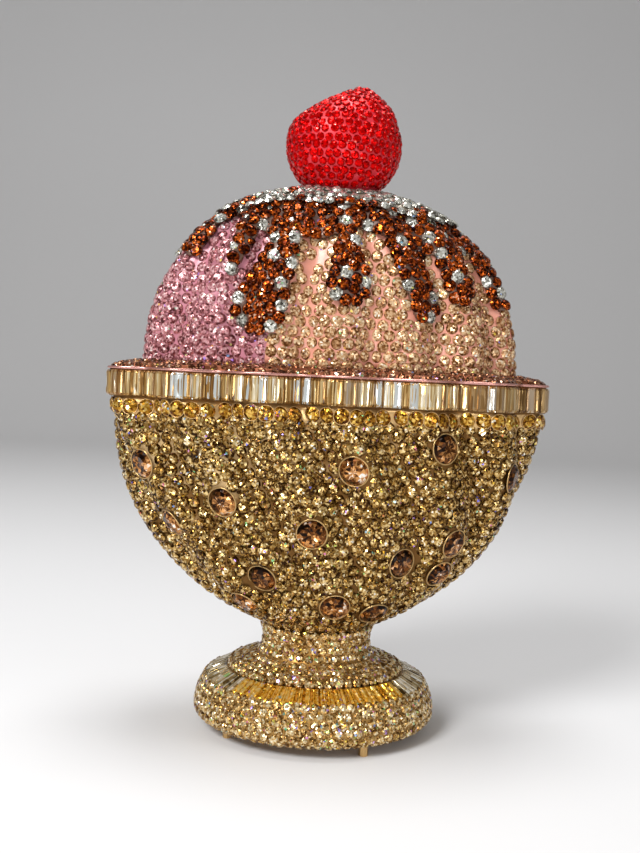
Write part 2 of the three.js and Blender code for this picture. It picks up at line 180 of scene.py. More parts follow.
class Wire:
    """A value in a node tree, so that sums on it are written as Python."""

    def __init__(self, paint, socket):
        self.paint, self.socket = paint, socket

    def sum(self, operation, *values):
        return self.paint.node("ShaderNodeMath", {"operation": operation}, *values)

    def __add__(self, other):
        return self.sum("ADD", self, other)

    def __sub__(self, other):
        return self.sum("SUBTRACT", self, other)

    def __mul__(self, other):
        return self.sum("MULTIPLY", self, other)

    def __rsub__(self, other):
        return self.sum("SUBTRACT", other, self)

    __radd__, __rmul__ = __add__, __mul__

    def __gt__(self, other):
        return self.sum("GREATER_THAN", self, other)

    def __lt__(self, other):
        return self.sum("LESS_THAN", self, other)

    def between(self, low, high):
        """0 at low, 1 at high, straight in between and flat outside."""
        return self.paint.node("ShaderNodeMapRange", {"clamp": True}, self, low, high, 0.0, 1.0)


class Paint:
    """A material and its node tree."""

    def __init__(self, name, **fixed):
        self.material = bpy.data.materials.new(name)
        self.material.use_nodes = True
        self.tree = self.material.node_tree
        self.tree.nodes.clear()
        self.shader = self.tree.nodes.new("ShaderNodeBsdfPrincipled")
        output = self.tree.nodes.new("ShaderNodeOutputMaterial")
        self.tree.links.new(self.shader.outputs[0], output.inputs["Surface"])
        for socket, value in fixed.items():
            self.shader.inputs[socket.replace("_", " ")].default_value = value

    def node(self, kind, settings, *values, output=0, **named):
        made = self.tree.nodes.new(kind)
        for key, value in settings.items():
            if key == "stops":
                ramp = made.color_ramp
                while len(ramp.elements) < len(value):
                    ramp.elements.new(0.5)
                for element, (place, rgb) in zip(ramp.elements, value):
                    element.position, element.color = place, (*rgb, 1.0)
            else:
                setattr(made, key, value)
        pairs = [*zip(made.inputs, values)]
        pairs += [(made.inputs[key], value) for key, value in named.items()]
        for socket, value in pairs:
            if isinstance(value, Wire):
                self.tree.links.new(value.socket, socket)
            elif value is not None:
                socket.default_value = value
        return Wire(self, made.outputs[output])

    def attribute(self, name):
        return self.node("ShaderNodeAttribute", {"attribute_name": name}, output=2)

    def place(self):
        return self.node("ShaderNodeTexCoord", {}, output=3)

    def mix(self, factor, first, second):
        """Mixes two colours."""
        mixed = self.node("ShaderNodeMix", {"data_type": "RGBA"}, output=2)
        inputs = mixed.socket.node.inputs
        for socket, value in ((inputs[0], factor), (inputs[6], first), (inputs[7], second)):
            if isinstance(value, Wire):
                self.tree.links.new(value.socket, socket)
            elif isinstance(value, (tuple, list)):
                socket.default_value = (*value, 1.0)
            else:
                socket.default_value = value
        return mixed

    def noise(self, size_mm, detail=2.0):
        """Noise of a grain size, from 0 to 1."""
        return self.node("ShaderNodeTexNoise", {}, self.place(), None, 1000 / size_mm, detail)

    def feed(self, **links):
        for socket, wire in links.items():
            self.tree.links.new(wire.socket, self.shader.inputs[socket.replace("_", " ")])

    def leaning(self, patch, amount):
        """The surface's normal, leaned by a patch's random colour."""
        normal = self.node("ShaderNodeNewGeometry", {}, output=1)
        vector = lambda operation, *values: self.node(
            "ShaderNodeVectorMath", {"operation": operation}, *values)
        lean = vector("SUBTRACT", patch, (0.5, 0.5, 0.5))
        return vector("NORMALIZE", vector("MULTIPLY_ADD", lean, (amount,) * 3, normal))

    def bump(self, height, distance_mm, strength=1.0):
        self.feed(Normal=self.node("ShaderNodeBump", {}, strength, distance_mm * MM,
                                   Height=height))


def dim(rgb, share):
    return tuple(value * share for value in rgb)


def toward(rgb, other, share):
    return tuple(a + (b - a) * share for a, b in zip(rgb, other))


# Rainbow colours of the painted fire, the coloured glints that a cut stone throws
PAINTED_FIRE = [(0.0, srgb(255, 176, 40)), (0.3, srgb(255, 236, 90)), (0.5, srgb(120, 230, 150)),
        (0.7, srgb(110, 130, 255)), (0.85, srgb(200, 140, 255)), (1.0, srgb(255, 110, 60))]


def stone_material(name, body, dark, light, painted_glint=(1.0, 0.98, 0.9), chip=0.55, sparkle=0.35,
                   painted_fire=0.03, metallic=0.72, coat=0.05, specular=0.25):
    """Cut stones with painted reflections and glints: dark, body, light or a white painted
    glint, by chance for every patch of a facet.

    `facet` is a random value per facet and `stone` one per stone; `chip` is the size of the
    smaller patches of painted light seen inside a stone, each with its own value and its own
    slight lean. A small share of the patches is painted in one of the rainbow's colours, as
    painted fire.
    """
    paint = Paint(name, Roughness=0.16, Coat_Weight=coat, Coat_Roughness=0.04,
                  Metallic=metallic, Specular_IOR_Level=specular)
    facet, stone = paint.attribute("facet"), paint.attribute("stone")
    patch = paint.node("ShaderNodeTexVoronoi", {}, paint.place(), None, 1000 / chip, output=1)
    chance = paint.node("ShaderNodeSeparateColor", {}, patch)
    value = facet * 0.56 + chance * 0.54 + stone * 0.2 - 0.15
    # The ramp paints the stones' reflections into the colour: dark, body, light and a white
    # painted glint
    stops = [(0.0, dim(dark, 0.4)), (0.22, dark), (0.5, body), (0.72, toward(body, light, 0.6)),
             (0.88, light), (1.0, painted_glint)]
    shade = paint.node("ShaderNodeValToRGB", {"stops": stops}, value)
    # Painted fire: a small share of the bright patches is painted in a rainbow colour
    rare = paint.node("ShaderNodeSeparateColor", {}, patch, output=1) > 1 - painted_fire
    hue = paint.node("ShaderNodeSeparateColor", {}, patch, output=2)
    colours = paint.node("ShaderNodeValToRGB", {"stops": PAINTED_FIRE}, hue)
    shade = paint.mix(rare * (value > 0.35) * 0.75, shade, colours)
    paint.feed(Base_Color=shade, Normal=paint.leaning(patch, sparkle))
    return paint.material


def metal_material(name, rgb, roughness=0.3, wear=0.15, grain=0.05, metallic=0.85):
    """Plated metal: fine blotches of lighter and darker plating, and a soft hammered bump."""
    paint = Paint(name, Metallic=metallic)
    blotch = paint.noise(3.0, 4.0)
    fine = paint.noise(0.7, 3.0)
    paint.feed(Base_Color=paint.mix(blotch, dim(rgb, 1 - wear), dim(rgb, 1 + wear)),
               Roughness=roughness + 0.12 * fine)
    paint.bump(fine, grain)
    return paint.material


def glass_metal_material(light, dark):
    """The glass's metal between the stones: brown gold, with painted light making it light gold
    high on the left.
    """
    paint = Paint("glass_metal", Metallic=0.7)
    across, height = (paint.node("ShaderNodeSeparateXYZ", {}, paint.place(), output=axis) * 1000
                      for axis in (0, 2))
    patch = paint.noise(9.0, 3.0)
    # Painted light: lighter gold high on the left, where the light falls, its border broken by
    # a noise patch
    lift = (height * 0.02 - across * 0.012 + patch * 1.8).between(2.35, 3.1)
    pits = paint.noise(0.45, 2.0)
    paint.feed(Base_Color=paint.mix(lift, dark, light), Roughness=0.3 + 0.25 * pits)
    paint.bump(pits, 0.08)
    return paint.material


def enamel_material(name, rgb, deep, roughness=0.35, coat=0.25):
    """Coloured enamel between the stones, deeper in patches."""
    paint = Paint(name, Coat_Weight=coat, Coat_Roughness=0.15, Metallic=0.15)
    patch = paint.noise(5.0, 3.0)
    paint.feed(Base_Color=paint.mix(patch.between(0.35, 0.7), rgb, deep),
               Roughness=roughness + 0.15 * patch)
    paint.bump(paint.noise(0.9), 0.06)
    return paint.material


def coat_bed_material(name, rgb, edge_rgb):
    """The bed between a coat's stones, its metal edge a shade of its own."""
    paint = Paint(name, Coat_Weight=0.4, Coat_Roughness=0.12, Metallic=0.5)
    near_edge = paint.attribute("edge").between(-0.7, -0.3)
    grain = paint.noise(0.8)
    shade = paint.mix(near_edge, paint.mix(grain, dim(rgb, 0.8), dim(rgb, 1.2)), edge_rgb)
    paint.feed(Base_Color=shade, Roughness=0.3 + 0.15 * grain)
    paint.bump(grain, 0.05)
    return paint.material


# ---------------- meshes from arrays

def mesh_object(name, points, faces, material, smooth=False, attributes=None):
    """An object from points in millimetres and arrays of faces, one for each corner count."""
    sizes = np.concatenate([np.full(len(group), group.shape[1]) for group in faces])
    corners = np.concatenate([group.ravel() for group in faces]).astype(np.int32)
    mesh = bpy.data.meshes.new(name)
    mesh.vertices.add(len(points))
    mesh.vertices.foreach_set("co", (np.asarray(points) * MM).astype(np.float32).ravel())
    mesh.loops.add(len(corners))
    mesh.loops.foreach_set("vertex_index", corners)
    mesh.polygons.add(len(sizes))
    starts = np.concatenate([[0], np.cumsum(sizes)[:-1]]).astype(np.int32)
    mesh.polygons.foreach_set("loop_start", starts)
    mesh.polygons.foreach_set("use_smooth", np.full(len(sizes), smooth))
    mesh.update(calc_edges=True)
    for key, (domain, values) in (attributes or {}).items():
        layer = mesh.attributes.new(key, "FLOAT", domain)
        layer.data.foreach_set("value", np.asarray(values, dtype=np.float32).ravel())
    mesh.materials.append(material)
    item = bpy.data.objects.new(name, mesh)
    bpy.context.scene.collection.objects.link(item)
    return item


def mesh_piece(name, points, faces, material, slot, replaces=(), **record):
    """A piece of the ornament, which hides the solids that it stands for; its slot is not used.
    """
    piece = mesh_object(name, points, faces, material, **record)
    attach(piece, "root")
    if replaces:
        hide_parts(*replaces)
    return piece


def point_ids(rows, columns, round_rows=False, round_columns=True):
    """Point numbers of a grid; where it closes round, the first ones again after the last."""
    ids = np.arange(rows * columns).reshape(rows, columns)
    return np.pad(ids, ((0, int(round_rows)), (0, int(round_columns))), mode="wrap")


def grid_quads(ids):
    """Quads between the neighbouring rows and columns of an array of point numbers."""
    corners = ids[:-1, :-1], ids[:-1, 1:], ids[1:, 1:], ids[1:, :-1]
    return np.stack(corners, axis=-1).reshape(-1, 4)


def closed_grid(grid):
    """Points and faces of stacked rings, both ends closed by a fan to a middle point."""
    rows, columns, _ = grid.shape
    points = np.concatenate([grid.reshape(-1, 3), [grid[0].mean(0), grid[-1].mean(0)]])
    ids = point_ids(rows, columns)
    low = np.full(columns, rows * columns)
    caps = [np.stack([low, ids[0, 1:], ids[0, :-1]], axis=-1),
            np.stack([low + 1, ids[-1, :-1], ids[-1, 1:]], axis=-1)]
    return points, [grid_quads(ids), np.concatenate(caps)]


def run_length(line):
    """The length along a line of points up to each of them."""
    steps = np.linalg.norm(np.diff(line, axis=0), axis=-1)
    return np.concatenate([[0], np.cumsum(steps)])


# ---------------- fluted oval surfaces

def signed_power(value, power):
    return np.sign(value) * np.abs(value) ** power


def lobe_face(place):
    """An arch over each lobe: 1 on the crest and 0 in the softly rounded grooves."""
    from_groove = 1 - np.abs(2 * (place - np.floor(place)) - 1)
    soft = np.hypot(from_groove, GROOVE_SOFTNESS)
    edge = math.cos(LOBE_ARC * (1 - GROOVE_SOFTNESS))
    return (np.cos(LOBE_ARC * (1 - soft)) - edge) / (1 - edge)


class Skin:
    """A fluted oval surface in millimetres.

    At each level its plan is |x / width| ^ power + |y / depth| ^ power = 1, gone round from the
    front to the right by equal steps of length, and pressed in by flute x (1 - lobe face).
    """

    STEPS, LEVELS = 720, 161

    def __init__(self, profile):
        self.profile = profile
        plan = profile(np.linspace(0, 1, self.LEVELS)[:, None])
        turn = np.linspace(0, 2 * np.pi, self.STEPS + 1)
        x, y = self.oval(plan, turn[None, :])
        steps = np.hypot(np.diff(x, axis=1), np.diff(y, axis=1))
        along = np.concatenate([np.zeros((self.LEVELS, 1)), np.cumsum(steps, axis=1)], axis=1)
        self.girth = along[:, -1]
        shares = np.linspace(0, 1, self.STEPS + 1)
        self.turns = np.stack([np.interp(shares, row / row[-1], turn) for row in along])

    @staticmethod
    def oval(plan, turn):
        return (plan.width * signed_power(np.sin(turn), 2 / plan.power),
                -plan.depth * signed_power(np.cos(turn), 2 / plan.power))

    def turned(self, share, level):
        """The plan's angle at a share of the way round, read between the rows of the table."""
        along = (share % 1) * self.STEPS
        up = np.clip(level, 0, 1) * (self.LEVELS - 1)
        i, j = along.astype(int), np.minimum(up.astype(int), self.LEVELS - 2)
        i = np.minimum(i, self.STEPS - 1)
        across, rise = along - i, up - j
        low = self.turns[j, i] * (1 - across) + self.turns[j, i + 1] * across
        high = self.turns[j + 1, i] * (1 - across) + self.turns[j + 1, i + 1] * across
        return low * (1 - rise) + high * rise

    def points(self, share, level):
        share, level = np.broadcast_arrays(np.asarray(share, float), np.asarray(level, float))
        plan = self.profile(level)
        x, y = self.oval(plan, self.turned(share, level))
        nx = signed_power(x / plan.width, plan.power - 1) / plan.width
        ny = signed_power(y / plan.depth, plan.power - 1) / plan.depth
        size = np.hypot(nx, ny)
        dip = plan.flute * (1 - lobe_face(share * LOBES - LOBE_START - plan.turn))
        return np.stack([x - dip * nx / size + plan.shift, y - dip * ny / size,
                         plan.height + 0 * x], axis=-1)

    def axes(self, share, level, reach=0.9):
        """Point, outward normal and upward direction, from differences over `reach` mm."""
        share, level = np.broadcast_arrays(np.asarray(share, float), np.asarray(level, float))
        girth = np.interp(level, np.linspace(0, 1, self.LEVELS), self.girth)
        side = np.minimum(reach / girth, 0.02)
        rise = reach / self.slope_length()
        right = self.points(share + side, level) - self.points(share - side, level)
        up = (self.points(share, np.minimum(level + rise, 1))
              - self.points(share, np.maximum(level - rise, 0)))
        normal = unit(np.cross(right, up))
        return self.points(share, level), normal, unit(np.cross(normal, right))

    def slope_length(self):
        return run_length(self.points(0.25, np.linspace(0, 1, 200)))[-1]

    def grid(self, rows, per_lobe, out=0.0):
        """Rings of points that follow the lobes, `out` mm off the surface."""
        level = np.linspace(0, 1, rows)[:, None]
        turn = self.profile(level).turn
        columns = LOBES * per_lobe
        share = np.arange(columns)[None, :] / columns + (LOBE_START + turn) / LOBES
        point, normal, _ = self.axes(share, level)
        return point + normal * out


def unit(vectors):
    return vectors / np.maximum(np.linalg.norm(vectors, axis=-1, keepdims=True), 1e-9)


def plan(level, width, depth, height, power=2.0, flute=0.0, turn=0.0, shift=0.0):
    """What a Skin reads at each level; a single number holds for all of them."""
    values = {"width": width, "depth": depth, "height": height, "power": power, "flute": flute,
              "turn": turn, "shift": shift}
    zero = np.zeros_like(level)
    return SimpleNamespace(**{key: value + zero for key, value in values.items()})


def twist(z):
    """Lobes of turn at a height: none from the rim up, growing evenly down to the stem."""
    return BOWL_TWIST * np.maximum(BAND_BOTTOM - z, 0) / (BAND_BOTTOM - BOWL_BOTTOM)


def bowl_plan(level):
    """Half of an ellipse that runs into the neck through a soft maximum of the two widths."""
    z = BOWL_BOTTOM + (BOWL_TOP - BOWL_BOTTOM) * level
    widest_at, half_height, melt = 87, 61.4, 3
    down = np.minimum((widest_at - z) / half_height, 1)
    wide = GLASS_WIDTH * np.sqrt(1 - down ** 2)
    width = (wide + NECK_WIDTH + np.hypot(wide - NECK_WIDTH, melt)) / 2
    opening = np.clip((width - NECK_WIDTH) / (GLASS_WIDTH - NECK_WIDTH), 0, 1)
    return plan(level, width, NECK_DEPTH + (GLASS_DEPTH - NECK_DEPTH) * opening ** 0.75, z,
                power=2 + 0.5 * opening, flute=RIM_FLUTE * opening ** 1.5, turn=twist(z))


def dome_plan(level, out=0.0):
    """The scoops: width and depth close in by their own superellipse as the dome rises."""
    top = 0.9975
    rise = np.sin(np.maximum(level, 0) * math.asin(top))
    inward = (1 - rise ** 2.3) ** 0.5
    return plan(level, DOME_WIDTH * inward + out,
                DOME_DEPTH * (1 - rise ** 2.6) ** (1 / 2.2) + out,
                DOME_BOTTOM + rise / top * DOME_HEIGHT + out, power=2.4 - 0.4 * rise,
                flute=DOME_FLUTE * inward ** 1.5)


def cream_top(point):
    """Height of the cream round the top of the dome, falling faster to front and back."""
    wide, deep = (np.maximum(np.abs(point[..., axis]) - CREAM_LIFT, 0) for axis in (0, 1))
    drop = (wide / DOME_WIDTH) ** 2 / 2.3 + (deep / DOME_DEPTH) ** 2.2 / 2.6
    return DOME_BOTTOM + DOME_HEIGHT * (1 - drop) + CREAM_LIFT


def cherry_plan(level):
    """A ball on a narrow seat, its crown closing faster and leaning right."""
    z = CHERRY_BOTTOM + (CHERRY_TOP - CHERRY_BOTTOM) * np.maximum(level, 0) ** 0.95
    up = z - CHERRY_WAIST
    ball, crown, leaning_from = 14.3, 15.9, 5.5
    size = np.where(up < 0, np.sqrt(1 - (np.minimum(up, 0) / ball) ** 2),
                    1 - (np.maximum(up, 0) / crown) ** 2.3)
    return plan(level, CHERRY_WIDTH * size, CHERRY_DEPTH * size, z,
                shift=CHERRY_X + 0.42 * np.maximum(up - leaning_from, 0))


def turned_plan(profile):
    """An oval turned piece: half width, half depth and height read along a smooth line."""
    knots = np.array(profile, float)
    knots = np.vstack([2 * knots[0] - knots[1], knots, 2 * knots[-1] - knots[-2]])

    def shape(level):
        count = len(knots) - 3
        step = np.minimum((level * count).astype(int), count - 1)
        t = (level * count - step)[..., None]
        a, b, c, d = (knots[step + k] for k in range(4))
        line = (b + 0.5 * t * (c - a + t * (2 * a - 5 * b + 4 * c - d
                                            + t * (3 * (b - c) + d - a))))
        return plan(level, line[..., 0], line[..., 1], line[..., 2])
    return shape


def rim_plan(inset, low, high, width=RIM_WIDTH, depth=RIM_DEPTH):
    """A fluted band between two heights, drawn in by an inset."""
    def shape(level):
        z = low + (high - low) * level
        return plan(level, width - inset, depth - inset, z, power=2.5, flute=RIM_FLUTE,
                    turn=twist(z))
    return shape


def flange_plan(level):
    """The shelf between rim and scoops, sloping up and in."""
    read = lambda values: np.interp(level, [0, 0.22, 1], values)
    return plan(level, read([56.6, 55.2, 49.6]), read([26.9, 26.0, 22.6]),
                read([FRAME_TOP - 0.3, 92.4, FLANGE_TOP + 0.2]), power=2.5,
                flute=read([4.0, 3.8, 2.9]))


# ---------------- drawn regions

def drawn_distance(points, edge, runs):
    """Millimetres outside the area above a drawn edge and the runs that hang from it.

    The front half is read from the front and the back half from the back. A run is a segment
    thickened by a radius that changes along it; the shapes melt into each other a little.
    """
    x = np.where(points[..., 1] < 0, points[..., 0], -points[..., 0])
    z = points[..., 2]
    distance, melt = np.interp(x, *zip(*edge)) - z, 1.2
    for (x1, z1, r1), (x2, z2, r2) in runs:
        dx, dz = x2 - x1, z2 - z1
        share = np.clip(((x - x1) * dx + (z - z1) * dz) / (dx * dx + dz * dz), 0, 1)
        gap = np.hypot(x - x1 - share * dx, z - z1 - share * dz) - (r1 + (r2 - r1) * share)
        blend = np.clip(0.5 + 0.5 * (distance - gap) / melt, 0, 1)
        distance = distance + (gap - distance) * blend - melt * blend * (1 - blend)
    return distance


def sauce_distance(points):
    return drawn_distance(points, SAUCE_EDGE, SAUCE_RUNS)


def cream_distance(points):
    return drawn_distance(points, CREAM_EDGE, [])


def sauce_reach(points, lift=0.0):
    """The sauce's drawn distance in millimetres along the scoops, from its slope there.

    It is read `lift` mm off the points. The scoops' outward direction is taken as that of an
    ellipsoid of their size.
    """
    step = 0.3
    size = np.square((DOME_WIDTH, DOME_DEPTH, DOME_HEIGHT))
    normal = unit((points - (0, 0, DOME_BOTTOM)) / size)
    points = points + normal * lift
    here = sauce_distance(points)
    slope = np.stack([sauce_distance(points + np.array(ahead) * step) - here
                      for ahead in ((1, 0, 0), (0, 0, 1))], axis=-1) / step
    outward = (slope * normal[..., ::2]).sum(axis=-1)
    along = np.sqrt(np.maximum((slope ** 2).sum(axis=-1) - outward ** 2, 0))
    return here / np.clip(along, 0.3, 1)


def parting_distance(points):
    """Millimetres to the right of the plane that parts pink from peach."""
    return points[..., 0] - PARTING_X - PARTING_LEAN * (points[..., 2] - DOME_BOTTOM)


# ---------------- cut stones

def ring_points(count, radius, height, turn=0.0):
    angle = (np.arange(count) + turn) * 2 * math.pi / count
    return np.stack([radius * np.cos(angle), radius * np.sin(angle),
                     np.full(count, height)], axis=-1)


def brilliant():
    """A round cut of radius 1 with its girdle at height 0.

    An eight-sided table of eight wedges, eight star facets, eight kites, sixteen girdle facets
    and a pointed back of eight.
    """
    crown, back = 0.34, -0.5
    points = np.concatenate([[[0, 0, crown]], ring_points(8, 0.56, crown),
                             ring_points(8, 0.79, crown * 0.52, 0.5), ring_points(16, 1.0, 0.0),
                             [[0, 0, back]]])
    k = np.arange(8)
    n = (k + 1) % 8
    table, star, girdle = 1 + k, 9 + k, 17 + 2 * k
    after = 17 + (2 * k + 2) % 16
    faces = lambda *bands: np.concatenate([np.stack(band, axis=-1) for band in bands])
    return SimpleNamespace(
        points=points, wedges=8,
        threes=faces([0 * k, table, 1 + n], [table, star, 1 + n], [star, girdle, girdle + 1],
                     [star, girdle + 1, after]),
        fours=faces([table, 9 + (k - 1) % 8, girdle, star],
                    [0 * k + 33, after, girdle + 1, girdle]))


def star_cut(count, rings):
    """A round cut of `count` wedges and bands of triangles between rings (radius, height).

    Each ring is turned half a step from the one inside it; the last is the girdle at height 0.
    """
    points = [[[0, 0, rings[0][1]]]]
    points += [ring_points(count, *ring, turn=0.5 * k) for k, ring in enumerate(rings)]
    k = np.arange(count)
    n = (k + 1) % count
    faces = [[0 * k, 1 + k, 1 + n]]
    for band in range(len(rings) - 1):
        inner, outer = 1 + band * count, 1 + (band + 1) * count
        faces += [[inner + k, outer + k, inner + n], [outer + k, outer + n, inner + n]]
    last = 1 + (len(rings) - 1) * count
    faces += [[0 * k + last + count, last + n, last + k]]
    return SimpleNamespace(
        points=np.concatenate(points + [[[0, 0, -0.4]]]), wedges=count,
        threes=np.concatenate([np.stack(band, axis=-1) for band in faces]),
        fours=np.zeros((0, 4), int))


ROUND_CUT = brilliant()
SMALL_CUT = star_cut(8, [(0.58, 0.34), (1.0, 0.0)])
LARGE_CUT = star_cut(16, [(0.28, 0.27), (0.6, 0.3), (0.82, 0.16), (1.0, 0.0)])


def stone_values(count, cut, rng, spin, painted_light_side):
    """Per-facet values of painted reflection: wedges of the table alternate light and dark, the
    girdle gets painted shade, all else is chance.

    A few facets get a painted glint, and a given amount paints light on the facets towards the
    lower right of a stone and painted shade on the opposite ones. Returns the values of facet
    and stone for each face.
    """
    faces = len(cut.threes) + len(cut.fours)
    facet = rng.beta(0.75, 0.95, (count, faces))
    # Painted reflection: the table's wedges alternate lighter and darker
    even = (np.arange(cut.wedges) + rng.integers(0, 2, (count, 1))) % 2 == 0
    table = facet[:, :cut.wedges]
    table[:] = np.clip(table * 0.6 + np.where(even, 0.42, 0.04), 0, 1)
    corners = [cut.points[face] for group in (cut.threes, cut.fours) for face in group]
    above_girdle = np.array([face[:, 2].min() for face in corners]) > 0.02
    # Painted shade: the facets that reach the girdle, and the back, are darkened
    facet *= np.where(above_girdle, 1.0, 0.72)
    # Painted light on the facets towards the lower right of the stone, painted shade on those
    # towards the upper left
    middles = np.array([face[:, :2].mean(0) for face in corners])
    turned = np.arctan2(middles[:, 1], middles[:, 0])[None, :] + spin
    reach = np.hypot(*middles.T)[None, :]
    facet = np.clip(facet + painted_light_side * reach * np.cos(turned + math.pi / 4), 0, 1)
    # Painted glints: a few facets are set to full brightness
    painted_glint = rng.random((count, faces)) > 0.96
    facet = np.where(painted_glint, 1.0, facet * 0.92)
    return facet, np.repeat(rng.random((count, 1)), faces, axis=1)


def stones_piece(name, places, diameter, material, rng, cut=ROUND_CUT, tilt=0.07, uneven=0.03,
                 painted_light_side=0.0, **record):
    """One mesh of stones, set with the table at the given surface points.

    places is point, normal, up and perhaps size; each stone is spun, tilted and sized a
    little at random.
    """
    shape = cut.points
    point, normal, up, *size = places
    count = len(point)
    normal = unit(normal + rng.normal(0, tilt, normal.shape))
    right = unit(np.cross(up, normal))
    up = np.cross(normal, right)
    spin = rng.uniform(0, 2 * math.pi, (count, 1))
    east = right * np.cos(spin) + up * np.sin(spin)
    north = np.cross(normal, east)
    radius = (diameter / 2 * (1 + rng.normal(0, uneven, count)) * (size or [1])[0])
    radius = radius[:, None, None]
    local = radius * shape[None]
    crown = shape[:, 2].max()
    points = (point[:, None] + local[..., :1] * east[:, None] + local[..., 1:2] * north[:, None]
              + (local[..., 2:] - crown * radius) * normal[:, None])
    offsets = (np.arange(count) * len(shape))[:, None, None]
    faces = [(cut.threes + offsets).reshape(-1, 3), (cut.fours + offsets).reshape(-1, 4)]
    split = len(cut.threes)
    values = stone_values(count, cut, rng, spin, painted_light_side)
    values = [np.concatenate([v[:, :split].ravel(), v[:, split:].ravel()]) for v in values]
    attributes = dict(zip(("facet", "stone"), (("FACE", v) for v in values)))
    return mesh_piece(name, points.reshape(-1, 3), faces, material, attributes=attributes,
                      **record)


def rows_of_places(skin, pitch, levels, spacing):
    """Places a pitch apart, in level rows that lie `spacing` pitches from each other."""
    level = np.linspace(*levels, 300)
    line = skin.points(np.arange(24)[None, :] / 24, level[:, None])
    rise = np.linalg.norm(np.diff(line, axis=0), axis=-1).mean(axis=1)
    along = np.concatenate([[0], np.cumsum(rise)])
    rows = max(round(along[-1] / (pitch * spacing)), 1)
    shares, heights = [], []
    fine = np.linspace(0, 1, 1441)
    for row, height in enumerate(np.interp(np.linspace(0, along[-1], rows + 1), along, level)):
        ring = run_length(skin.points(fine, height))
        count = max(int(ring[-1] / pitch), 1)
        wanted = (np.arange(count) + 0.5 * (row % 2)) / count * ring[-1]
        shares.append(np.interp(wanted, ring, fine))
        heights.append(np.full(count, height))
    return np.concatenate(shares), np.concatenate(heights)


def pack_places(skin, pitch, levels=(0.0, 1.0), outside=None, obstacles=None, fill=False):
    """Rows of places that push one another apart until they lie a pitch from each other.

    The pitch is kept between girdles. `outside` gives the millimetres by which a place lies
    beyond its area, and each obstacle is a point with the distance to keep from it; what lies
    far over an edge is left out and the rest is pushed back. Three times the crowded ones are
    dropped, the holes filled, and all settles again. `fill` sinks smaller stones into the gaps
    that are left. Returns point, normal, up and size.
    """
    area = SimpleNamespace(
        skin=skin, levels=levels, outside=outside or (lambda point: point[..., 0] * 0 - 1),
        obstacles=obstacles or (np.zeros((0, 3)), np.zeros(0)))
    share, level = rows_of_places(skin, pitch, levels, 0.88)
    keep = within(area, skin.points(share, level), 0.45 * pitch)
    share, level = settle(area, share[keep], level[keep], pitch)
    for _ in range(3):
        keep = uncrowded(area, share, level, CROWDED * pitch)
        *more, _ = holes(area, share[keep], level[keep], pitch, HOLE, 0.05)
        share, level = (np.concatenate([values[keep], added])
                        for values, added in zip((share, level), more))
        share, level = settle(area, share, level, pitch)
    keep = uncrowded(area, share, level, OVERLAP * pitch)
    share, level, size = share[keep], level[keep], np.ones(keep.sum())
    if fill:
        *more, room = holes(area, share, level, pitch, GAP, 0.25)
        share, level = (np.concatenate(pair) for pair in zip((share, level), more))
        size = np.concatenate([size, np.clip(2 * room - 0.85, SMALLEST, SMALLER)])
    point, normal, up = skin.axes(share, level)
    return point - normal * (GIRDLE_DEPTH * 0.5 * (size < 1))[:, None], normal, up, size


def girdles(area, share, level):
    point, normal, _ = area.skin.axes(share, level)
    return (point - normal * GIRDLE_DEPTH).astype(np.float32)


def uncrowded(area, share, level, least):
    """Drops the stone with most others too near it, over and over, until none is too near."""
    near = square_distances(*[girdles(area, share, level)] * 2) < least ** 2
    np.fill_diagonal(near, False)
    keep = np.ones(len(share), bool)
    count = near.sum(axis=1)
    while count.max(initial=0) > 0:
        worst = int(count.argmax())
        keep[worst] = False
        count -= near[worst]
        count[worst] = 0
        near[worst] = near[:, worst] = False
    return keep


def within(area, point, spare):
    """Which places lie in the area or less than `spare` mm over its edge."""
    centres, reaches = area.obstacles
    far = np.linalg.norm(point[:, None] - centres[None], axis=-1)
    return (area.outside(point) < spare) & (far > reaches - spare).all(axis=1)


def settle(area, share, level, pitch):
    """Pushes the places about; those in the first and the last row stay in their row."""
    skin, (centres, reaches), step = area.skin, area.obstacles, 1e-3
    for _ in range(ROUNDS):
        point, normal, up = skin.axes(share, level)
        push = push_apart(point - normal * GIRDLE_DEPTH, pitch)
        push += push_off(point, centres, reaches)
        push += push_inside(point, np.cross(up, normal), up, area.outside)
        inner = (level > area.levels[0]) & (level < area.levels[1])
        for values, ahead, free in ((share, (step, 0), 1), (level, (0, step), inner)):
            along = (skin.points(share + ahead[0], level + ahead[1])
                     - skin.points(share - ahead[0], level - ahead[1])) / (2 * step)
            values += free * (push * along).sum(-1) / np.maximum((along ** 2).sum(-1), 1)
        np.clip(level, *area.levels, out=level)
    return share, level


def holes(area, share, level, pitch, least, spare):
    """Spots of a fine raster that lie clear of all stones, the emptiest first.

    Lengths are in pitches; each spot comes with the room that it has.
    """
    spots = rows_of_places(area.skin, pitch / 4, area.levels, 0.9)
    inside = within(area, area.skin.points(*spots), spare * pitch)
    spots = [values[inside] for values in spots]
    stones, empty = girdles(area, share, level), girdles(area, *spots)
    nearest = np.concatenate([square_distances(part, stones).min(axis=1)
                              for part in np.array_split(empty, len(empty) // 2000 + 1)])
    chosen, room = [], []
    while nearest.max(initial=0) > (least * pitch) ** 2:
        chosen.append(int(nearest.argmax()))
        room.append(math.sqrt(nearest[chosen[-1]]) / pitch)
        nearest = np.minimum(nearest, square_distances(empty, empty[chosen[-1:]])[:, 0])
    return [*(values[chosen] for values in spots), np.array(room)]


def square_distances(first, second):
    return (first ** 2).sum(1)[:, None] + (second ** 2).sum(1)[None, :] - 2 * first @ second.T


def spread_choice(point, share, apart, rng):
    """A share of the places by chance, none of them nearer than `apart` to another."""
    chosen = np.zeros(len(point), bool)
    for index in rng.permutation(len(point)):
        far = np.linalg.norm(point[chosen] - point[index], axis=1).min(initial=apart)
        if far >= apart and chosen.mean() < share:
            chosen[index] = True
    return chosen


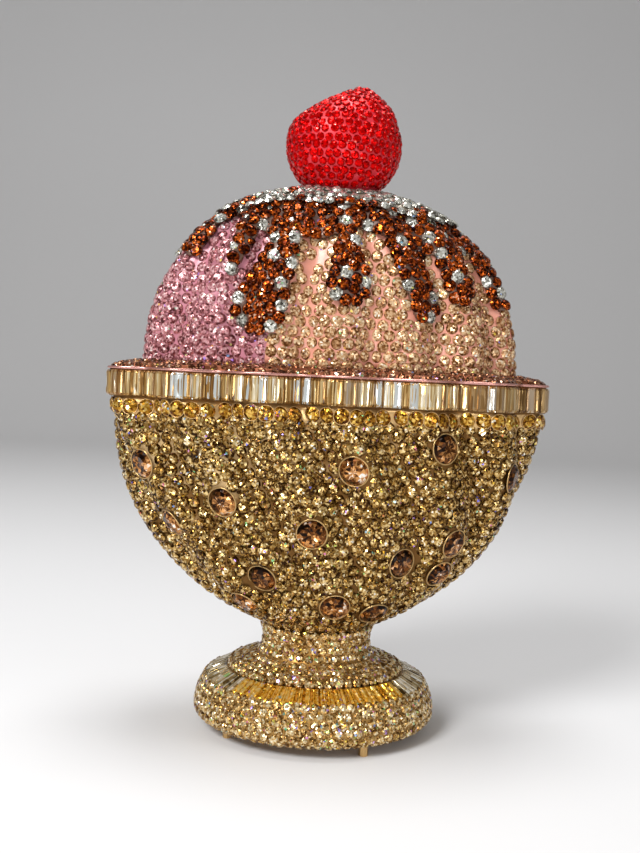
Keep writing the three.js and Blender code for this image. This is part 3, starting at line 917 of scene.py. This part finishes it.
def push_apart(point, pitch):
    """Half of what each pair nearer than the pitch lacks, along the line between them."""
    flat = point.astype(np.float32)
    first, second = np.nonzero(np.triu(square_distances(flat, flat) < pitch ** 2, 1))
    apart = point[first] - point[second]
    far = np.maximum(np.linalg.norm(apart, axis=1, keepdims=True), 1e-6)
    move = apart / far * (pitch - far) / 2
    push = np.zeros_like(point)
    np.add.at(push, first, move)
    np.add.at(push, second, -move)
    return push


def push_off(point, centres, reaches):
    apart = point[:, None] - centres[None]
    far = np.linalg.norm(apart, axis=-1, keepdims=True)
    return (apart / far * np.maximum(reaches[None, :, None] - far, 0)).sum(axis=1)


def push_inside(point, right, up, outside):
    """Back over the edge by the way the distance falls fastest along the surface."""
    here, reach = outside(point), 0.3
    across = (outside(point + reach * right) - here) / reach
    rise = (outside(point + reach * up) - here) / reach
    over = np.maximum(here, 0) / np.maximum(across ** 2 + rise ** 2, 0.2)
    return -over[:, None] * (across[:, None] * right + rise[:, None] * up)


def row_places(skin, count, level=0.5):
    """`count` places at equal steps along the fluted line at one level."""
    share = np.linspace(0, 1, 2001)
    along = run_length(skin.points(share, level))
    wanted = (np.arange(count) + 0.5) / count * along[-1]
    return skin.axes(np.interp(wanted, along, share), level)


def ring_tubes(places, radius, thickness, sides, profile=6):
    """A thin ring round each place: a small circle carried round a larger one."""
    point, normal, up = places
    east = unit(np.cross(up, normal))
    north = np.cross(normal, east)
    around = (np.arange(sides) * 2 * math.pi / sides)[None, :, None, None]
    tube = (np.arange(profile) * 2 * math.pi / profile)[None, None, :, None]
    out = radius + thickness * np.cos(tube)
    spread = lambda vectors: vectors[:, None, None, :]
    side = np.cos(around) * spread(east) + np.sin(around) * spread(north)
    points = spread(point) + out * side + thickness * np.sin(tube) * spread(normal)
    quads = grid_quads(point_ids(sides, profile, round_rows=True).T)
    offsets = (np.arange(len(point)) * sides * profile)[:, None, None]
    return points.reshape(-1, 3), [(quads[None] + offsets).reshape(-1, 4)]


def shell_piece(name, skin, rows, per_lobe, out, material, **record):
    """The metal or enamel under the stones: the surface itself, closed at both ends."""
    points, faces = closed_grid(skin.grid(rows, per_lobe, out))
    return mesh_piece(name, points, faces, material, smooth=True, **record)


# ---------------- the pieces

class SundaeOperator(bpy.types.Operator):
    bl_options = {"REGISTER", "UNDO"}

    def execute(self, context):
        scene = context.scene
        self.build(scene.sundae_sizes, scene.sundae_colours, np.random.default_rng(SEED))
        return {"FINISHED"}


def crystal_seats(skin):
    """Where the large crystals sit: share and height turned into point, normal and up."""
    share = np.array([s + half for half in (0, 0.5) for s, _ in CRYSTALS])
    height = np.array([z for _ in (0, 1) for _, z in CRYSTALS])
    level = (height - BOWL_BOTTOM) / (BOWL_TOP - BOWL_BOTTOM)
    return skin.axes(share, level, reach=3.0)


class OBJECT_OT_sundae_glass(SundaeOperator):
    """The swirled glass with its small stones and large crystals"""
    bl_idname = "object.sundae_glass"
    bl_label = "Glass"

    def build(self, sizes, colours, rng):
        skin = Skin(bowl_plan)
        gold = glass_metal_material(srgb(222, 190, 138), srgb(104, 72, 32))
        shell_piece("bowl_shell", skin, 70, 16, -0.75, gold, replaces=["bowl"],
                    slot="champagne_stones")
        seats = crystal_seats(skin)
        diameter = sizes.glass_stone / MM
        clear_of = np.full(len(seats[0]), CRYSTAL_RADIUS + 0.45 + diameter / 2)
        places = pack_places(skin, diameter * 0.97, levels=(0.02, 1.0),
                             obstacles=(seats[0], clear_of), fill=True)
        stone = stone_material("champagne_stone", colours.champagne, srgb(66, 40, 2),
                               srgb(246, 218, 156))
        stones_piece("bowl_stones", places, diameter, stone, rng, slot="champagne_stones")
        self.crystals(seats, colours, rng)

    def crystals(self, seats, colours, rng):
        point, normal, up = seats
        point = point - normal * 0.3
        topaz = stone_material("topaz_crystal", colours.topaz, srgb(34, 18, 6),
                               srgb(234, 168, 102), chip=1.1, sparkle=0.5, painted_fire=0.0)
        nodes = [f"crystal_{number:02d}" for number in range(1, 29)]
        # The crystals get painted light on their lower right facets and painted shade on the
        # upper left
        stones_piece("topaz_crystals", (point + normal * 0.5, normal, up), 2 * CRYSTAL_RADIUS,
                     topaz, rng, cut=LARGE_CUT, tilt=0.02, uneven=0.0, painted_light_side=0.45, replaces=nodes,
                     slot="topaz_crystals")
        metal = metal_material("crystal_setting", srgb(190, 156, 104), roughness=0.25)
        ring = ring_tubes((point - normal * 0.55, normal, up), CRYSTAL_RADIUS + 0.12, 0.2, 24)
        mesh_piece("crystal_settings", *ring, metal, smooth=True, slot="rose_gold_metal")


class OBJECT_OT_sundae_rim(SundaeOperator):
    """The amber row, the band of baguettes, the metal line and the shelf"""
    bl_idname = "object.sundae_rim"
    bl_label = "Rim"

    def build(self, sizes, colours, rng):
        self.amber_row(sizes, colours, rng)
        self.baguettes(sizes, rng)
        self.frame_line()
        self.flange(rng)

    def amber_row(self, sizes, colours, rng):
        gold = metal_material("row_gold", srgb(206, 170, 118), roughness=0.3)
        back = Skin(rim_plan(0, BOWL_TOP - 0.2, BAND_BOTTOM, 55.3, 25.8))
        shell_piece("amber_backing", back, 4, 16, 0, gold, replaces=["amber_row"],
                    slot="amber_stones")
        front = Skin(rim_plan(0, AMBER_BOTTOM, AMBER_TOP, 56.6, 27.1))
        places = row_places(front, AMBER_STONES)
        diameter = sizes.amber_stone / MM
        amber = stone_material("amber_stone", colours.amber, srgb(96, 54, 4),
                               srgb(240, 204, 112))
        stones_piece("amber_stones", places, diameter, amber, rng, tilt=0.03,
                     slot="amber_stones")
        point, normal, up = places
        ring = ring_tubes((point - normal * 0.66, normal, up), diameter / 2 + 0.02, 0.11, 18)
        mesh_piece("amber_bezels", *ring, gold, smooth=True, slot="rose_gold_metal")

    def baguettes(self, sizes, rng):
        dark = metal_material("band_backing", srgb(120, 88, 50), roughness=0.4)
        back = Skin(rim_plan(0.75, BAND_BOTTOM - 0.2, FRAME_BOTTOM))
        shell_piece("band_backing", back, 4, 16, 0, dark, replaces=["rim_baguettes"],
                    slot="gold_baguettes")
        skin = Skin(rim_plan(0, BAND_BOTTOM, BAND_TOP))
        places = row_places(skin, LOBES * sizes.baguettes)
        width = np.linalg.norm(np.diff(places[0], axis=0), axis=1).mean() * 0.96
        step_cut_piece("rim_baguette_stones", places, width, width, BAND_TOP - BAND_BOTTOM, 0.8,
                       band_material(), rng, "gold_baguettes")

    def frame_line(self):
        rose = metal_material("rose_gold", srgb(202, 148, 138), roughness=0.22, wear=0.08)
        skin = Skin(rim_plan(0.1, BAND_TOP + 0.25, FRAME_TOP - 0.2))
        level = np.linspace(-1, 1, 9)[:, None, None]
        grid = skin.grid(9, 16)
        grid = grid - unit(grid * (1, 1, 0)) * (0.3 * level ** 2)
        mesh_piece("rim_line", *closed_grid(grid), rose, smooth=True, replaces=["rim_frame"],
                   slot="rose_gold_metal")

    def flange(self, rng):
        rose = metal_material("shelf_metal", srgb(128, 76, 54), roughness=0.35)
        skin = Skin(flange_plan)
        shell_piece("shelf", skin, 16, 16, -0.3, rose, replaces=["rim_flange"],
                    slot="rose_brown_stones")
        stone = stone_material("rose_stone", srgb(128, 78, 50), srgb(62, 30, 14),
                               srgb(222, 168, 130))
        places = pack_places(skin, SHELF_STONE, levels=(0.12, 0.88))
        stones_piece("shelf_stones", places, SHELF_STONE, stone, rng, cut=SMALL_CUT,
                     slot="rose_brown_stones")


def band_material():
    """Step-cut gold glass with painted reflections: each strip its own gold, white or brown,
    finely streaked upward.

    Painted shade darkens the stones towards brown at the right end.
    """
    paint = Paint("gold_baguette", Roughness=0.12, Coat_Weight=0.15, Coat_Roughness=0.03,
                  Metallic=0.6, Specular_IOR_Level=0.3)
    facet, stone, tint = (paint.attribute(key) for key in ("facet", "stone", "tint"))
    drawn_out = paint.node("ShaderNodeVectorMath", {"operation": "MULTIPLY"}, paint.place(),
                           (1.0, 1.0, 0.1))
    patch = paint.node("ShaderNodeTexVoronoi", {}, drawn_out, None, 1000 / 0.42, output=1)
    streak = paint.node("ShaderNodeSeparateColor", {}, patch)
    stops = [(0.0, srgb(84, 54, 20)), (0.22, srgb(160, 118, 62)), (0.42, srgb(212, 180, 122)),
             (0.62, srgb(234, 214, 170)), (0.82, srgb(252, 246, 230)), (1.0, (1, 1, 1))]
    value = facet * 0.5 + streak * 0.36 + stone * 0.42 - 0.18
    shade = paint.node("ShaderNodeValToRGB", {"stops": stops}, value)
    clear = (tint > 0.76) * (value > 0.35)
    shade = paint.mix(clear * 0.85, shade, srgb(214, 224, 228))
    shade = paint.mix((tint < 0.12) * 0.6, shade, srgb(124, 82, 44))
    shade = paint.mix((tint > 0.72) * (tint < 0.76) * (value > 0.5) * 0.8, shade,
                      srgb(250, 214, 90))
    # Painted shade: from 22 mm right of the middle out to 54 mm, the baguettes are darkened
    # more and more towards brown
    across = paint.node("ShaderNodeSeparateXYZ", {}, paint.place()) * 1000
    brown = paint.mix(shade, srgb(60, 36, 12), srgb(196, 154, 96))
    shade = paint.mix(across.between(22, 54) * 0.8, shade, brown)
    paint.feed(Base_Color=shade, Normal=paint.leaning(patch, 0.16))
    return paint.material


def step_cut_piece(name, places, low_width, high_width, height, depth, material, rng, slot):
    """Long step-cut stones: a table in three strips, two steps down each side, a flat back.

    places is the middle of each stone's front, its outward normal and its long direction. The
    widths are those of its lower and upper end, so a stone may taper.
    """
    point, normal, up = places
    count = len(point)
    right = unit(np.cross(up, normal))
    # columns across: share of the half width, and how far the column lies below the table
    across = np.array([-1.0, -1.0, -0.72, -0.45, -0.16, 0.16, 0.45, 0.72, 1.0, 1.0])
    sunk = np.array([1.0, 0.55, 0.2, 0.0, 0.0, 0.0, 0.0, 0.2, 0.55, 1.0])
    # rows along: share of the half height, and how far the row lies below the table
    along = np.array([-1.0, -1.0, -0.9, -0.8, 0.8, 0.9, 1.0, 1.0])
    drop = np.array([1.0, 0.55, 0.2, 0.0, 0.0, 0.2, 0.55, 1.0])
    half = (low_width + (high_width - low_width) * (along + 1) / 2) / 2
    x = across[None, :] * half[:, None]
    z = np.repeat(along[:, None] * height / 2, len(across), axis=1)
    y = -depth * np.maximum(sunk[None, :], drop[:, None])
    spread = lambda vectors: vectors[:, None, None, :]
    points = (spread(point) + x[None, ..., None] * spread(right)
              + z[None, ..., None] * spread(up) + y[None, ..., None] * spread(normal))
    rows, columns = len(along), len(across)
    ids = point_ids(rows, columns, round_columns=False)
    border = np.concatenate([ids[0], ids[1:, -1], ids[-1, -2::-1], ids[-2:0:-1, 0]])
    offsets = (np.arange(count) * ids.size)[:, None, None]
    faces = [(grid_quads(ids)[None] + offsets).reshape(-1, 4),
             border[::-1][None] + offsets[:, 0]]
    # Painted reflections: each strip of each stone gets its own value, darker on the stepped
    # ends
    strips = rng.beta(1.0, 1.1, (count, 1, columns - 1))
    ends = np.where(np.abs(along[:-1] + along[1:]) > 1.5, -0.3, 0.0)[None, :, None]
    chance = rng.normal(0, 0.06, (count, rows - 1, columns - 1))
    facet = np.clip(strips + ends + chance, 0, 1).reshape(count, -1)
    stone, tint = rng.random(count), rng.random(count)
    face_count = facet.shape[1]
    fill = lambda values: np.concatenate([np.repeat(values, face_count), values])
    attributes = {"facet": ("FACE", np.concatenate([facet.ravel(), np.zeros(count)])),
                  "stone": ("FACE", fill(stone)), "tint": ("FACE", fill(tint))}
    return mesh_piece(name, points.reshape(-1, 3), faces, material, slot, attributes=attributes)


class OBJECT_OT_sundae_scoops(SundaeOperator):
    """The pink and the peach scoop, each enamel under its own stones"""
    bl_idname = "object.sundae_scoops"
    bl_label = "Scoops"

    def build(self, sizes, colours, rng):
        skin = Skin(dome_plan)
        diameter = sizes.scoop_stone / MM
        reach = diameter / 2
        sides = [("pink", -1, 0.97, colours.pink, srgb(110, 56, 58), srgb(238, 192, 194),
                  srgb(188, 118, 132)),
                 ("peach", 1, 1.02, colours.peach, srgb(122, 76, 38), srgb(246, 220, 180),
                  srgb(224, 150, 128))]
        for name, side, spread, body, dark, light, bed in sides:
            enamel = enamel_material(f"{name}_enamel", bed, dim(bed, 0.7))
            self.half_shell(f"{name}_bed", skin, side, enamel, name)

            def outside(point, side=side):
                beyond_parting = reach * 0.95 - side * parting_distance(point)
                return np.maximum(beyond_parting, reach * 0.6 - sauce_reach(point, SAUCE_LIFT))
            places = pack_places(skin, diameter * spread, (0.0, 0.9), outside)
            stone = stone_material(f"{name}_stone", body, dark, light, metallic=0.4, painted_fire=0.015)
            stones_piece(f"{name}_stones", places, diameter, stone, rng, slot=f"{name}_stones")

    def half_shell(self, name, skin, side, material, scoop):
        """The dome's shell cut at the parting plane and closed there."""
        piece = shell_piece(name, skin, 48, 12, -0.55, material, replaces=[f"scoop_{scoop}"],
                            slot=f"{scoop}_stones")
        across = Vector((1, 0, -PARTING_LEAN)).normalized()
        on_plane = (PARTING_X * MM, 0, DOME_BOTTOM * MM)
        shape = bmesh.new()
        shape.from_mesh(piece.data)
        bmesh.ops.bisect_plane(shape, geom=shape.verts[:] + shape.edges[:] + shape.faces[:],
                               plane_co=on_plane, plane_no=across * side, clear_inner=True)
        open_edges = [edge for edge in shape.edges if edge.is_boundary]
        bmesh.ops.holes_fill(shape, edges=open_edges)
        shape.to_mesh(piece.data)
        shape.free()


def coat_piece(name, skin, distance, bottom, material, **record):
    """A coat on the scoops: the part of a fine grid inside a drawn edge, as a closed skin.

    Its outside rises from under the scoops at the edge, over a thin rounded wire, to the bed of
    the stones. Its inside lies under the scoops' surface.
    """
    rows, columns = round(170 * (1 - bottom)), LOBES * 32
    edge, sunk, wire, inside = 0.35, 1.4, 0.8, 1.9
    level = np.linspace(bottom, 1, rows)[:, None]
    share = np.arange(columns)[None, :] / columns
    point, normal, _ = skin.axes(share, level)
    gap = surface_distance(distance(point), point)
    rise = np.clip(edge - gap, 0, 1)
    outside = wire * np.sqrt(rise * (2 - rise)) - sunk
    keep = gap < edge + 0.05
    keep[-1] = True
    top = point + normal * outside[..., None]
    low = point - normal * inside
    faces = grid_quads(point_ids(rows, columns))
    faces = faces[keep.ravel()[faces].all(axis=1)]
    shift = rows * columns
    under = faces[:, ::-1] + shift
    edges = np.concatenate([faces[:, [k, (k + 1) % 4]] for k in range(4)])
    keys, twins = (edges[:, k].astype(np.int64) * shift + edges[:, 1 - k] for k in (0, 1))
    rim = edges[~np.isin(keys, twins)]
    walls = np.stack([rim[:, 1], rim[:, 0], rim[:, 0] + shift, rim[:, 1] + shift], axis=-1)
    points = np.concatenate([top.reshape(-1, 3), low.reshape(-1, 3)])
    faces = np.concatenate([faces, under, walls])
    used, index = np.unique(faces, return_inverse=True)
    gaps = np.concatenate([gap.ravel(), gap.ravel() * 0 + 9])[used]
    return mesh_piece(name, points[used], [index.reshape(-1, 4)], material, smooth=True,
                      attributes={"edge": ("POINT", gaps)}, **record)


def surface_distance(distance, point):
    """A drawn distance divided by its slope over the surface, which makes it true there."""
    beside = lambda values: np.roll(values, -1, axis=1) - np.roll(values, 1, axis=1)
    side = np.linalg.norm(beside(point), axis=-1)
    across = beside(distance) / np.maximum(side, 1e-3)
    rise = np.linalg.norm(np.gradient(point, axis=0), axis=-1)
    up = np.gradient(distance, axis=0) / np.maximum(rise, 1e-3)
    return distance / np.clip(np.hypot(across, up), 0.3, 1.5)


class OBJECT_OT_sundae_sauce(SundaeOperator):
    """The sauce with its wire edge, cognac and clear stones, and the cap of cream"""
    bl_idname = "object.sundae_sauce"
    bl_label = "Sauce and cream"

    def build(self, sizes, colours, rng):
        skin = Skin(lambda level: dome_plan(level, SAUCE_LIFT))
        bed = coat_bed_material("sauce_bed", srgb(96, 72, 62), srgb(112, 82, 66))
        coat_piece("sauce_bed", skin, lambda point: sauce_distance(point) + 0.3, 0.06, bed,
                   replaces=["sauce"], slot="cognac_stones")
        diameter = sizes.sauce_stone / MM

        def outside(point):
            return np.maximum(sauce_reach(point) + diameter * 0.38,
                              diameter * 0.12 - cream_distance(point))
        places = pack_places(skin, diameter * 0.96, (0.06, 0.95), outside, fill=True)
        clear = spread_choice(places[0], 0.15, 1.5 * diameter, rng)
        cognac = stone_material("cognac_stone", colours.cognac, srgb(28, 8, 0),
                                srgb(224, 106, 36), painted_glint=srgb(255, 214, 186), painted_fire=0.004,
                                coat=0.02, specular=0.1)
        white = stone_material("clear_stone", colours.clear, srgb(96, 92, 84),
                               srgb(244, 246, 240))
        pick = lambda mask: [part[mask] for part in places]
        stones_piece("sauce_stones", pick(~clear), diameter, cognac, rng, slot="cognac_stones")
        stones_piece("sauce_clear_stones", pick(clear), diameter * 1.06, white, rng,
                     slot="clear_stones")
        self.cream(rng, white, cognac)

    def cream(self, rng, white, cognac):
        skin = Skin(lambda level: dome_plan(level, CREAM_LIFT))
        silver = coat_bed_material("cream_bed", srgb(150, 138, 122), srgb(104, 78, 66))
        coat_piece("cream_bed", skin, lambda point: cream_distance(point) + 0.8, 0.6, silver,
                   replaces=["cream_cap"], slot="clear_stones")

        def outside(point):
            from_cherry = np.hypot(point[..., 0] - CHERRY_X, point[..., 1] * 1.1)
            return np.maximum(cream_distance(point) + 0.7, 10.9 - from_cherry)
        places = pack_places(skin, CREAM_STONE + 0.05, (0.6, 0.985), outside, fill=True)
        brown = (rng.random(len(places[0])) < 0.2) & (cream_distance(places[0]) > -4.5)
        for name, stone, chosen in (("cream_stones", white, ~brown),
                                    ("cream_brown_stones", cognac, brown)):
            stones_piece(name, [part[chosen] for part in places], CREAM_STONE, stone, rng,
                         slot="clear_stones")


class OBJECT_OT_sundae_cherry(SundaeOperator):
    """The cherry under its small red stones"""
    bl_idname = "object.sundae_cherry"
    bl_label = "Cherry"

    def build(self, sizes, colours, rng):
        skin = Skin(cherry_plan)
        bed = enamel_material("cherry_enamel", srgb(214, 50, 64), srgb(190, 18, 34), coat=0.08)
        shell_piece("cherry_bed", skin, 40, 4, -0.42, bed, replaces=["cherry"],
                    slot="red_stones")
        diameter = sizes.cherry_stone / MM
        places = pack_places(skin, diameter * 1.04, (0.0, 0.985),
                             lambda point: cream_top(point) + 0.6 - point[..., 2])
        stone = stone_material("red_stone", colours.red, srgb(176, 0, 0), srgb(232, 10, 14),
                               painted_glint=srgb(255, 150, 136), painted_fire=0.0, coat=0.02, specular=0.12)
        stones_piece("cherry_stones", places, diameter, stone, rng, cut=SMALL_CUT,
                     slot="red_stones")


class OBJECT_OT_sundae_foot(SundaeOperator):
    """The foot, its cone of baguettes, the stem and the pins"""
    bl_idname = "object.sundae_foot"
    bl_label = "Foot"

    def build(self, sizes, colours, rng):
        gold = metal_material("foot_gold", srgb(160, 122, 68), roughness=0.35, wear=0.3)
        stone = stone_material("foot_stone", srgb(206, 168, 104), srgb(124, 86, 38),
                               srgb(255, 242, 204), painted_fire=0.09)
        diameter = sizes.foot_stone / MM
        rim = [(29.9, 26.9, FOOT_BOTTOM), (31.0, 28.0, 3.5), (31.4, 28.4, 5.0),
               (31.2, 28.2, 7.5), (30.4, 27.4, 10.1), (29.2, 26.2, FOOT_TOP)]
        stem = [(22.8, 19.8, STEM_BOTTOM), (22.2, 19.3, 16.7), (19.4, 16.9, 17.7),
                (16.2, 14.1, 18.7), (14.6, 12.8, 20.5), (14.2, 12.5, 23.4),
                (14.8, 13.0, STEM_TOP)]
        for name, profile in (("foot_rim", rim), ("stem", stem)):
            skin = Skin(turned_plan(profile))
            shell_piece(f"{name}_bed", skin, 28, 10, -0.45, gold, replaces=[name],
                        slot="foot_stones")
            places = pack_places(skin, diameter * 0.97, levels=(0.02, 0.98), fill=True)
            stones_piece(f"{name}_stones", places, diameter, stone, rng, cut=SMALL_CUT,
                         slot="foot_stones")
        self.cone(gold, rng)
        self.pins()

    def cone(self, gold, rng):
        skin = Skin(turned_plan([(29.0, 26.0, CONE_BOTTOM), (23.3, 20.3, CONE_TOP)]))
        shell_piece("cone_bed", skin, 3, 10, -0.7, gold, replaces=["foot_baguettes"],
                    slot="amber_baguettes")
        point, normal, up = row_places(skin, CONE_BAGUETTES)
        aside = np.abs(point[:, 0]) > 20.5
        amber = stone_material("amber_baguette", srgb(255, 194, 68), srgb(194, 128, 26),
                               srgb(255, 230, 146), chip=0.6)
        clear = stone_material("clear_baguette", srgb(196, 172, 122), srgb(100, 78, 40),
                               srgb(250, 246, 232), chip=1.6, sparkle=0.2)
        for name, stone, chosen in (("amber", amber, ~aside), ("clear", clear, aside)):
            step_cut_piece(f"{name}_baguettes", (point[chosen], normal[chosen], up[chosen]),
                           2.0, 1.56, 6.1, 0.7, stone, rng, "amber_baguettes")

    def pins(self):
        metal = metal_material("pin_metal", srgb(206, 168, 112), roughness=0.25)
        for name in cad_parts:
            if name.startswith("foot_pin"):
                bpy.data.objects[name].data.materials[0] = metal


class OBJECT_OT_sundae_stage(bpy.types.Operator):
    """Floor, backdrop, lights and camera"""
    bl_idname = "object.sundae_stage"
    bl_label = "Stage"
    bl_options = {"REGISTER", "UNDO"}

    def execute(self, context):
        self.floor()
        self.lights(context.scene)
        self.camera(context.scene)
        return {"FINISHED"}

    def floor(self):
        """A pale sweep: floor, a round corner and a wall, as one curve carried sideways."""
        bend = np.linspace(0, math.pi / 2, 16)
        y = np.concatenate([[-1500], 900 + 500 * np.sin(bend), [1400]])
        z = np.concatenate([[0], 500 - 500 * np.cos(bend), [2200]])
        x = np.linspace(-2500, 2500, 2)
        points = np.stack(np.broadcast_arrays(x[None, :], y[:, None], z[:, None]), axis=-1)
        quads = grid_quads(point_ids(len(y), len(x), round_columns=False))
        paint = Paint("pale_floor", Roughness=0.6)
        pale = [(tone, tone, tone + 0.01) for tone in (0.74, 0.78)]
        paint.feed(Base_Color=paint.mix(paint.noise(400), *pale))
        mesh_object("floor", points.reshape(-1, 3), [quads], paint.material,
                             smooth=True)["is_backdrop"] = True

    def lights(self, scene):
        world = bpy.data.worlds.new("studio")
        world.use_nodes = True
        world.node_tree.nodes["Background"].inputs["Color"].default_value = (1.0, 0.98, 0.95, 1)
        world.node_tree.nodes["Background"].inputs["Strength"].default_value = 0.3
        scene.world = world
        scene.view_settings.view_transform = "Standard"
        boxes = [("key", (-450, -500, 620), 300, 6.5), ("fill", (620, -420, 320), 260, 0.5),
                 ("top", (0, 40, 800), 320, 3.0), ("low", (60, -700, 90), 160, 1.0)]
        middle = np.array([0, 0, 85])
        for name, place, size, power in boxes:
            light = bpy.data.lights.new(name, "AREA")
            light.size, light.energy = size * MM, power
            lamp = bpy.data.objects.new(name, light)
            lamp.rotation_euler = direction(middle - place)
            lamp.location = [value * MM for value in place]
            scene.collection.objects.link(lamp)

    def camera(self, scene):
        data = bpy.data.cameras.new("camera")
        data.sensor_width, data.lens = 36, 40.94
        camera = bpy.data.objects.new("camera", data)
        pitch, roll = 0.051, math.radians(2.6)
        camera.matrix_world = (Matrix.Rotation(math.radians(-3.3), 4, "Z")
                               @ Matrix.Translation((-1.5 * MM, -252.6 * MM, 90.8 * MM))
                               @ Matrix.Rotation(math.pi / 2 - pitch, 4, "X")
                               @ Matrix.Rotation(roll, 4, "Z"))
        scene.collection.objects.link(camera)
        scene.camera = camera


def direction(aim):
    """The turn that points a lamp's -Z along `aim`."""
    x, y, z = aim
    return (math.atan2(math.hypot(x, y), -z), 0.0, math.atan2(y, x) - math.pi / 2)


class VIEW3D_PT_sundae(bpy.types.Panel):
    """Lists the sizes, the colours and the pieces"""
    bl_label = "Sundae Ornament"
    bl_idname = "VIEW3D_PT_sundae"
    bl_space_type = "VIEW_3D"
    bl_region_type = "UI"
    bl_category = "Sundae"

    def draw(self, context):
        layout = self.layout
        for group in (context.scene.sundae_sizes, context.scene.sundae_colours):
            box = layout.box()
            for key in group.__annotations__:
                box.prop(group, key)
        for operator in OPERATORS:
            layout.operator(operator.bl_idname)


OPERATORS = (OBJECT_OT_sundae_glass, OBJECT_OT_sundae_rim, OBJECT_OT_sundae_scoops,
             OBJECT_OT_sundae_sauce, OBJECT_OT_sundae_cherry, OBJECT_OT_sundae_foot,
             OBJECT_OT_sundae_stage)
CLASSES = (SundaeSizes, SundaeColours, *OPERATORS, VIEW3D_PT_sundae)


def register():
    for item in CLASSES:
        bpy.utils.register_class(item)
    bpy.types.Scene.sundae_sizes = PointerProperty(type=SundaeSizes)
    bpy.types.Scene.sundae_colours = PointerProperty(type=SundaeColours)


def unregister():
    del bpy.types.Scene.sundae_colours
    del bpy.types.Scene.sundae_sizes
    for item in reversed(CLASSES):
        bpy.utils.unregister_class(item)


def main():
    register()
    for name in ("glass", "rim", "scoops", "sauce", "cherry", "foot", "stage"):
        getattr(bpy.ops.object, f"sundae_{name}")()
    plain = lambda box: [list(map(float, corner)) for corner in box]
    {"cad": plain(CAD_BOX), "visual": plain(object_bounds())}


if __name__ == "__main__":
    main()
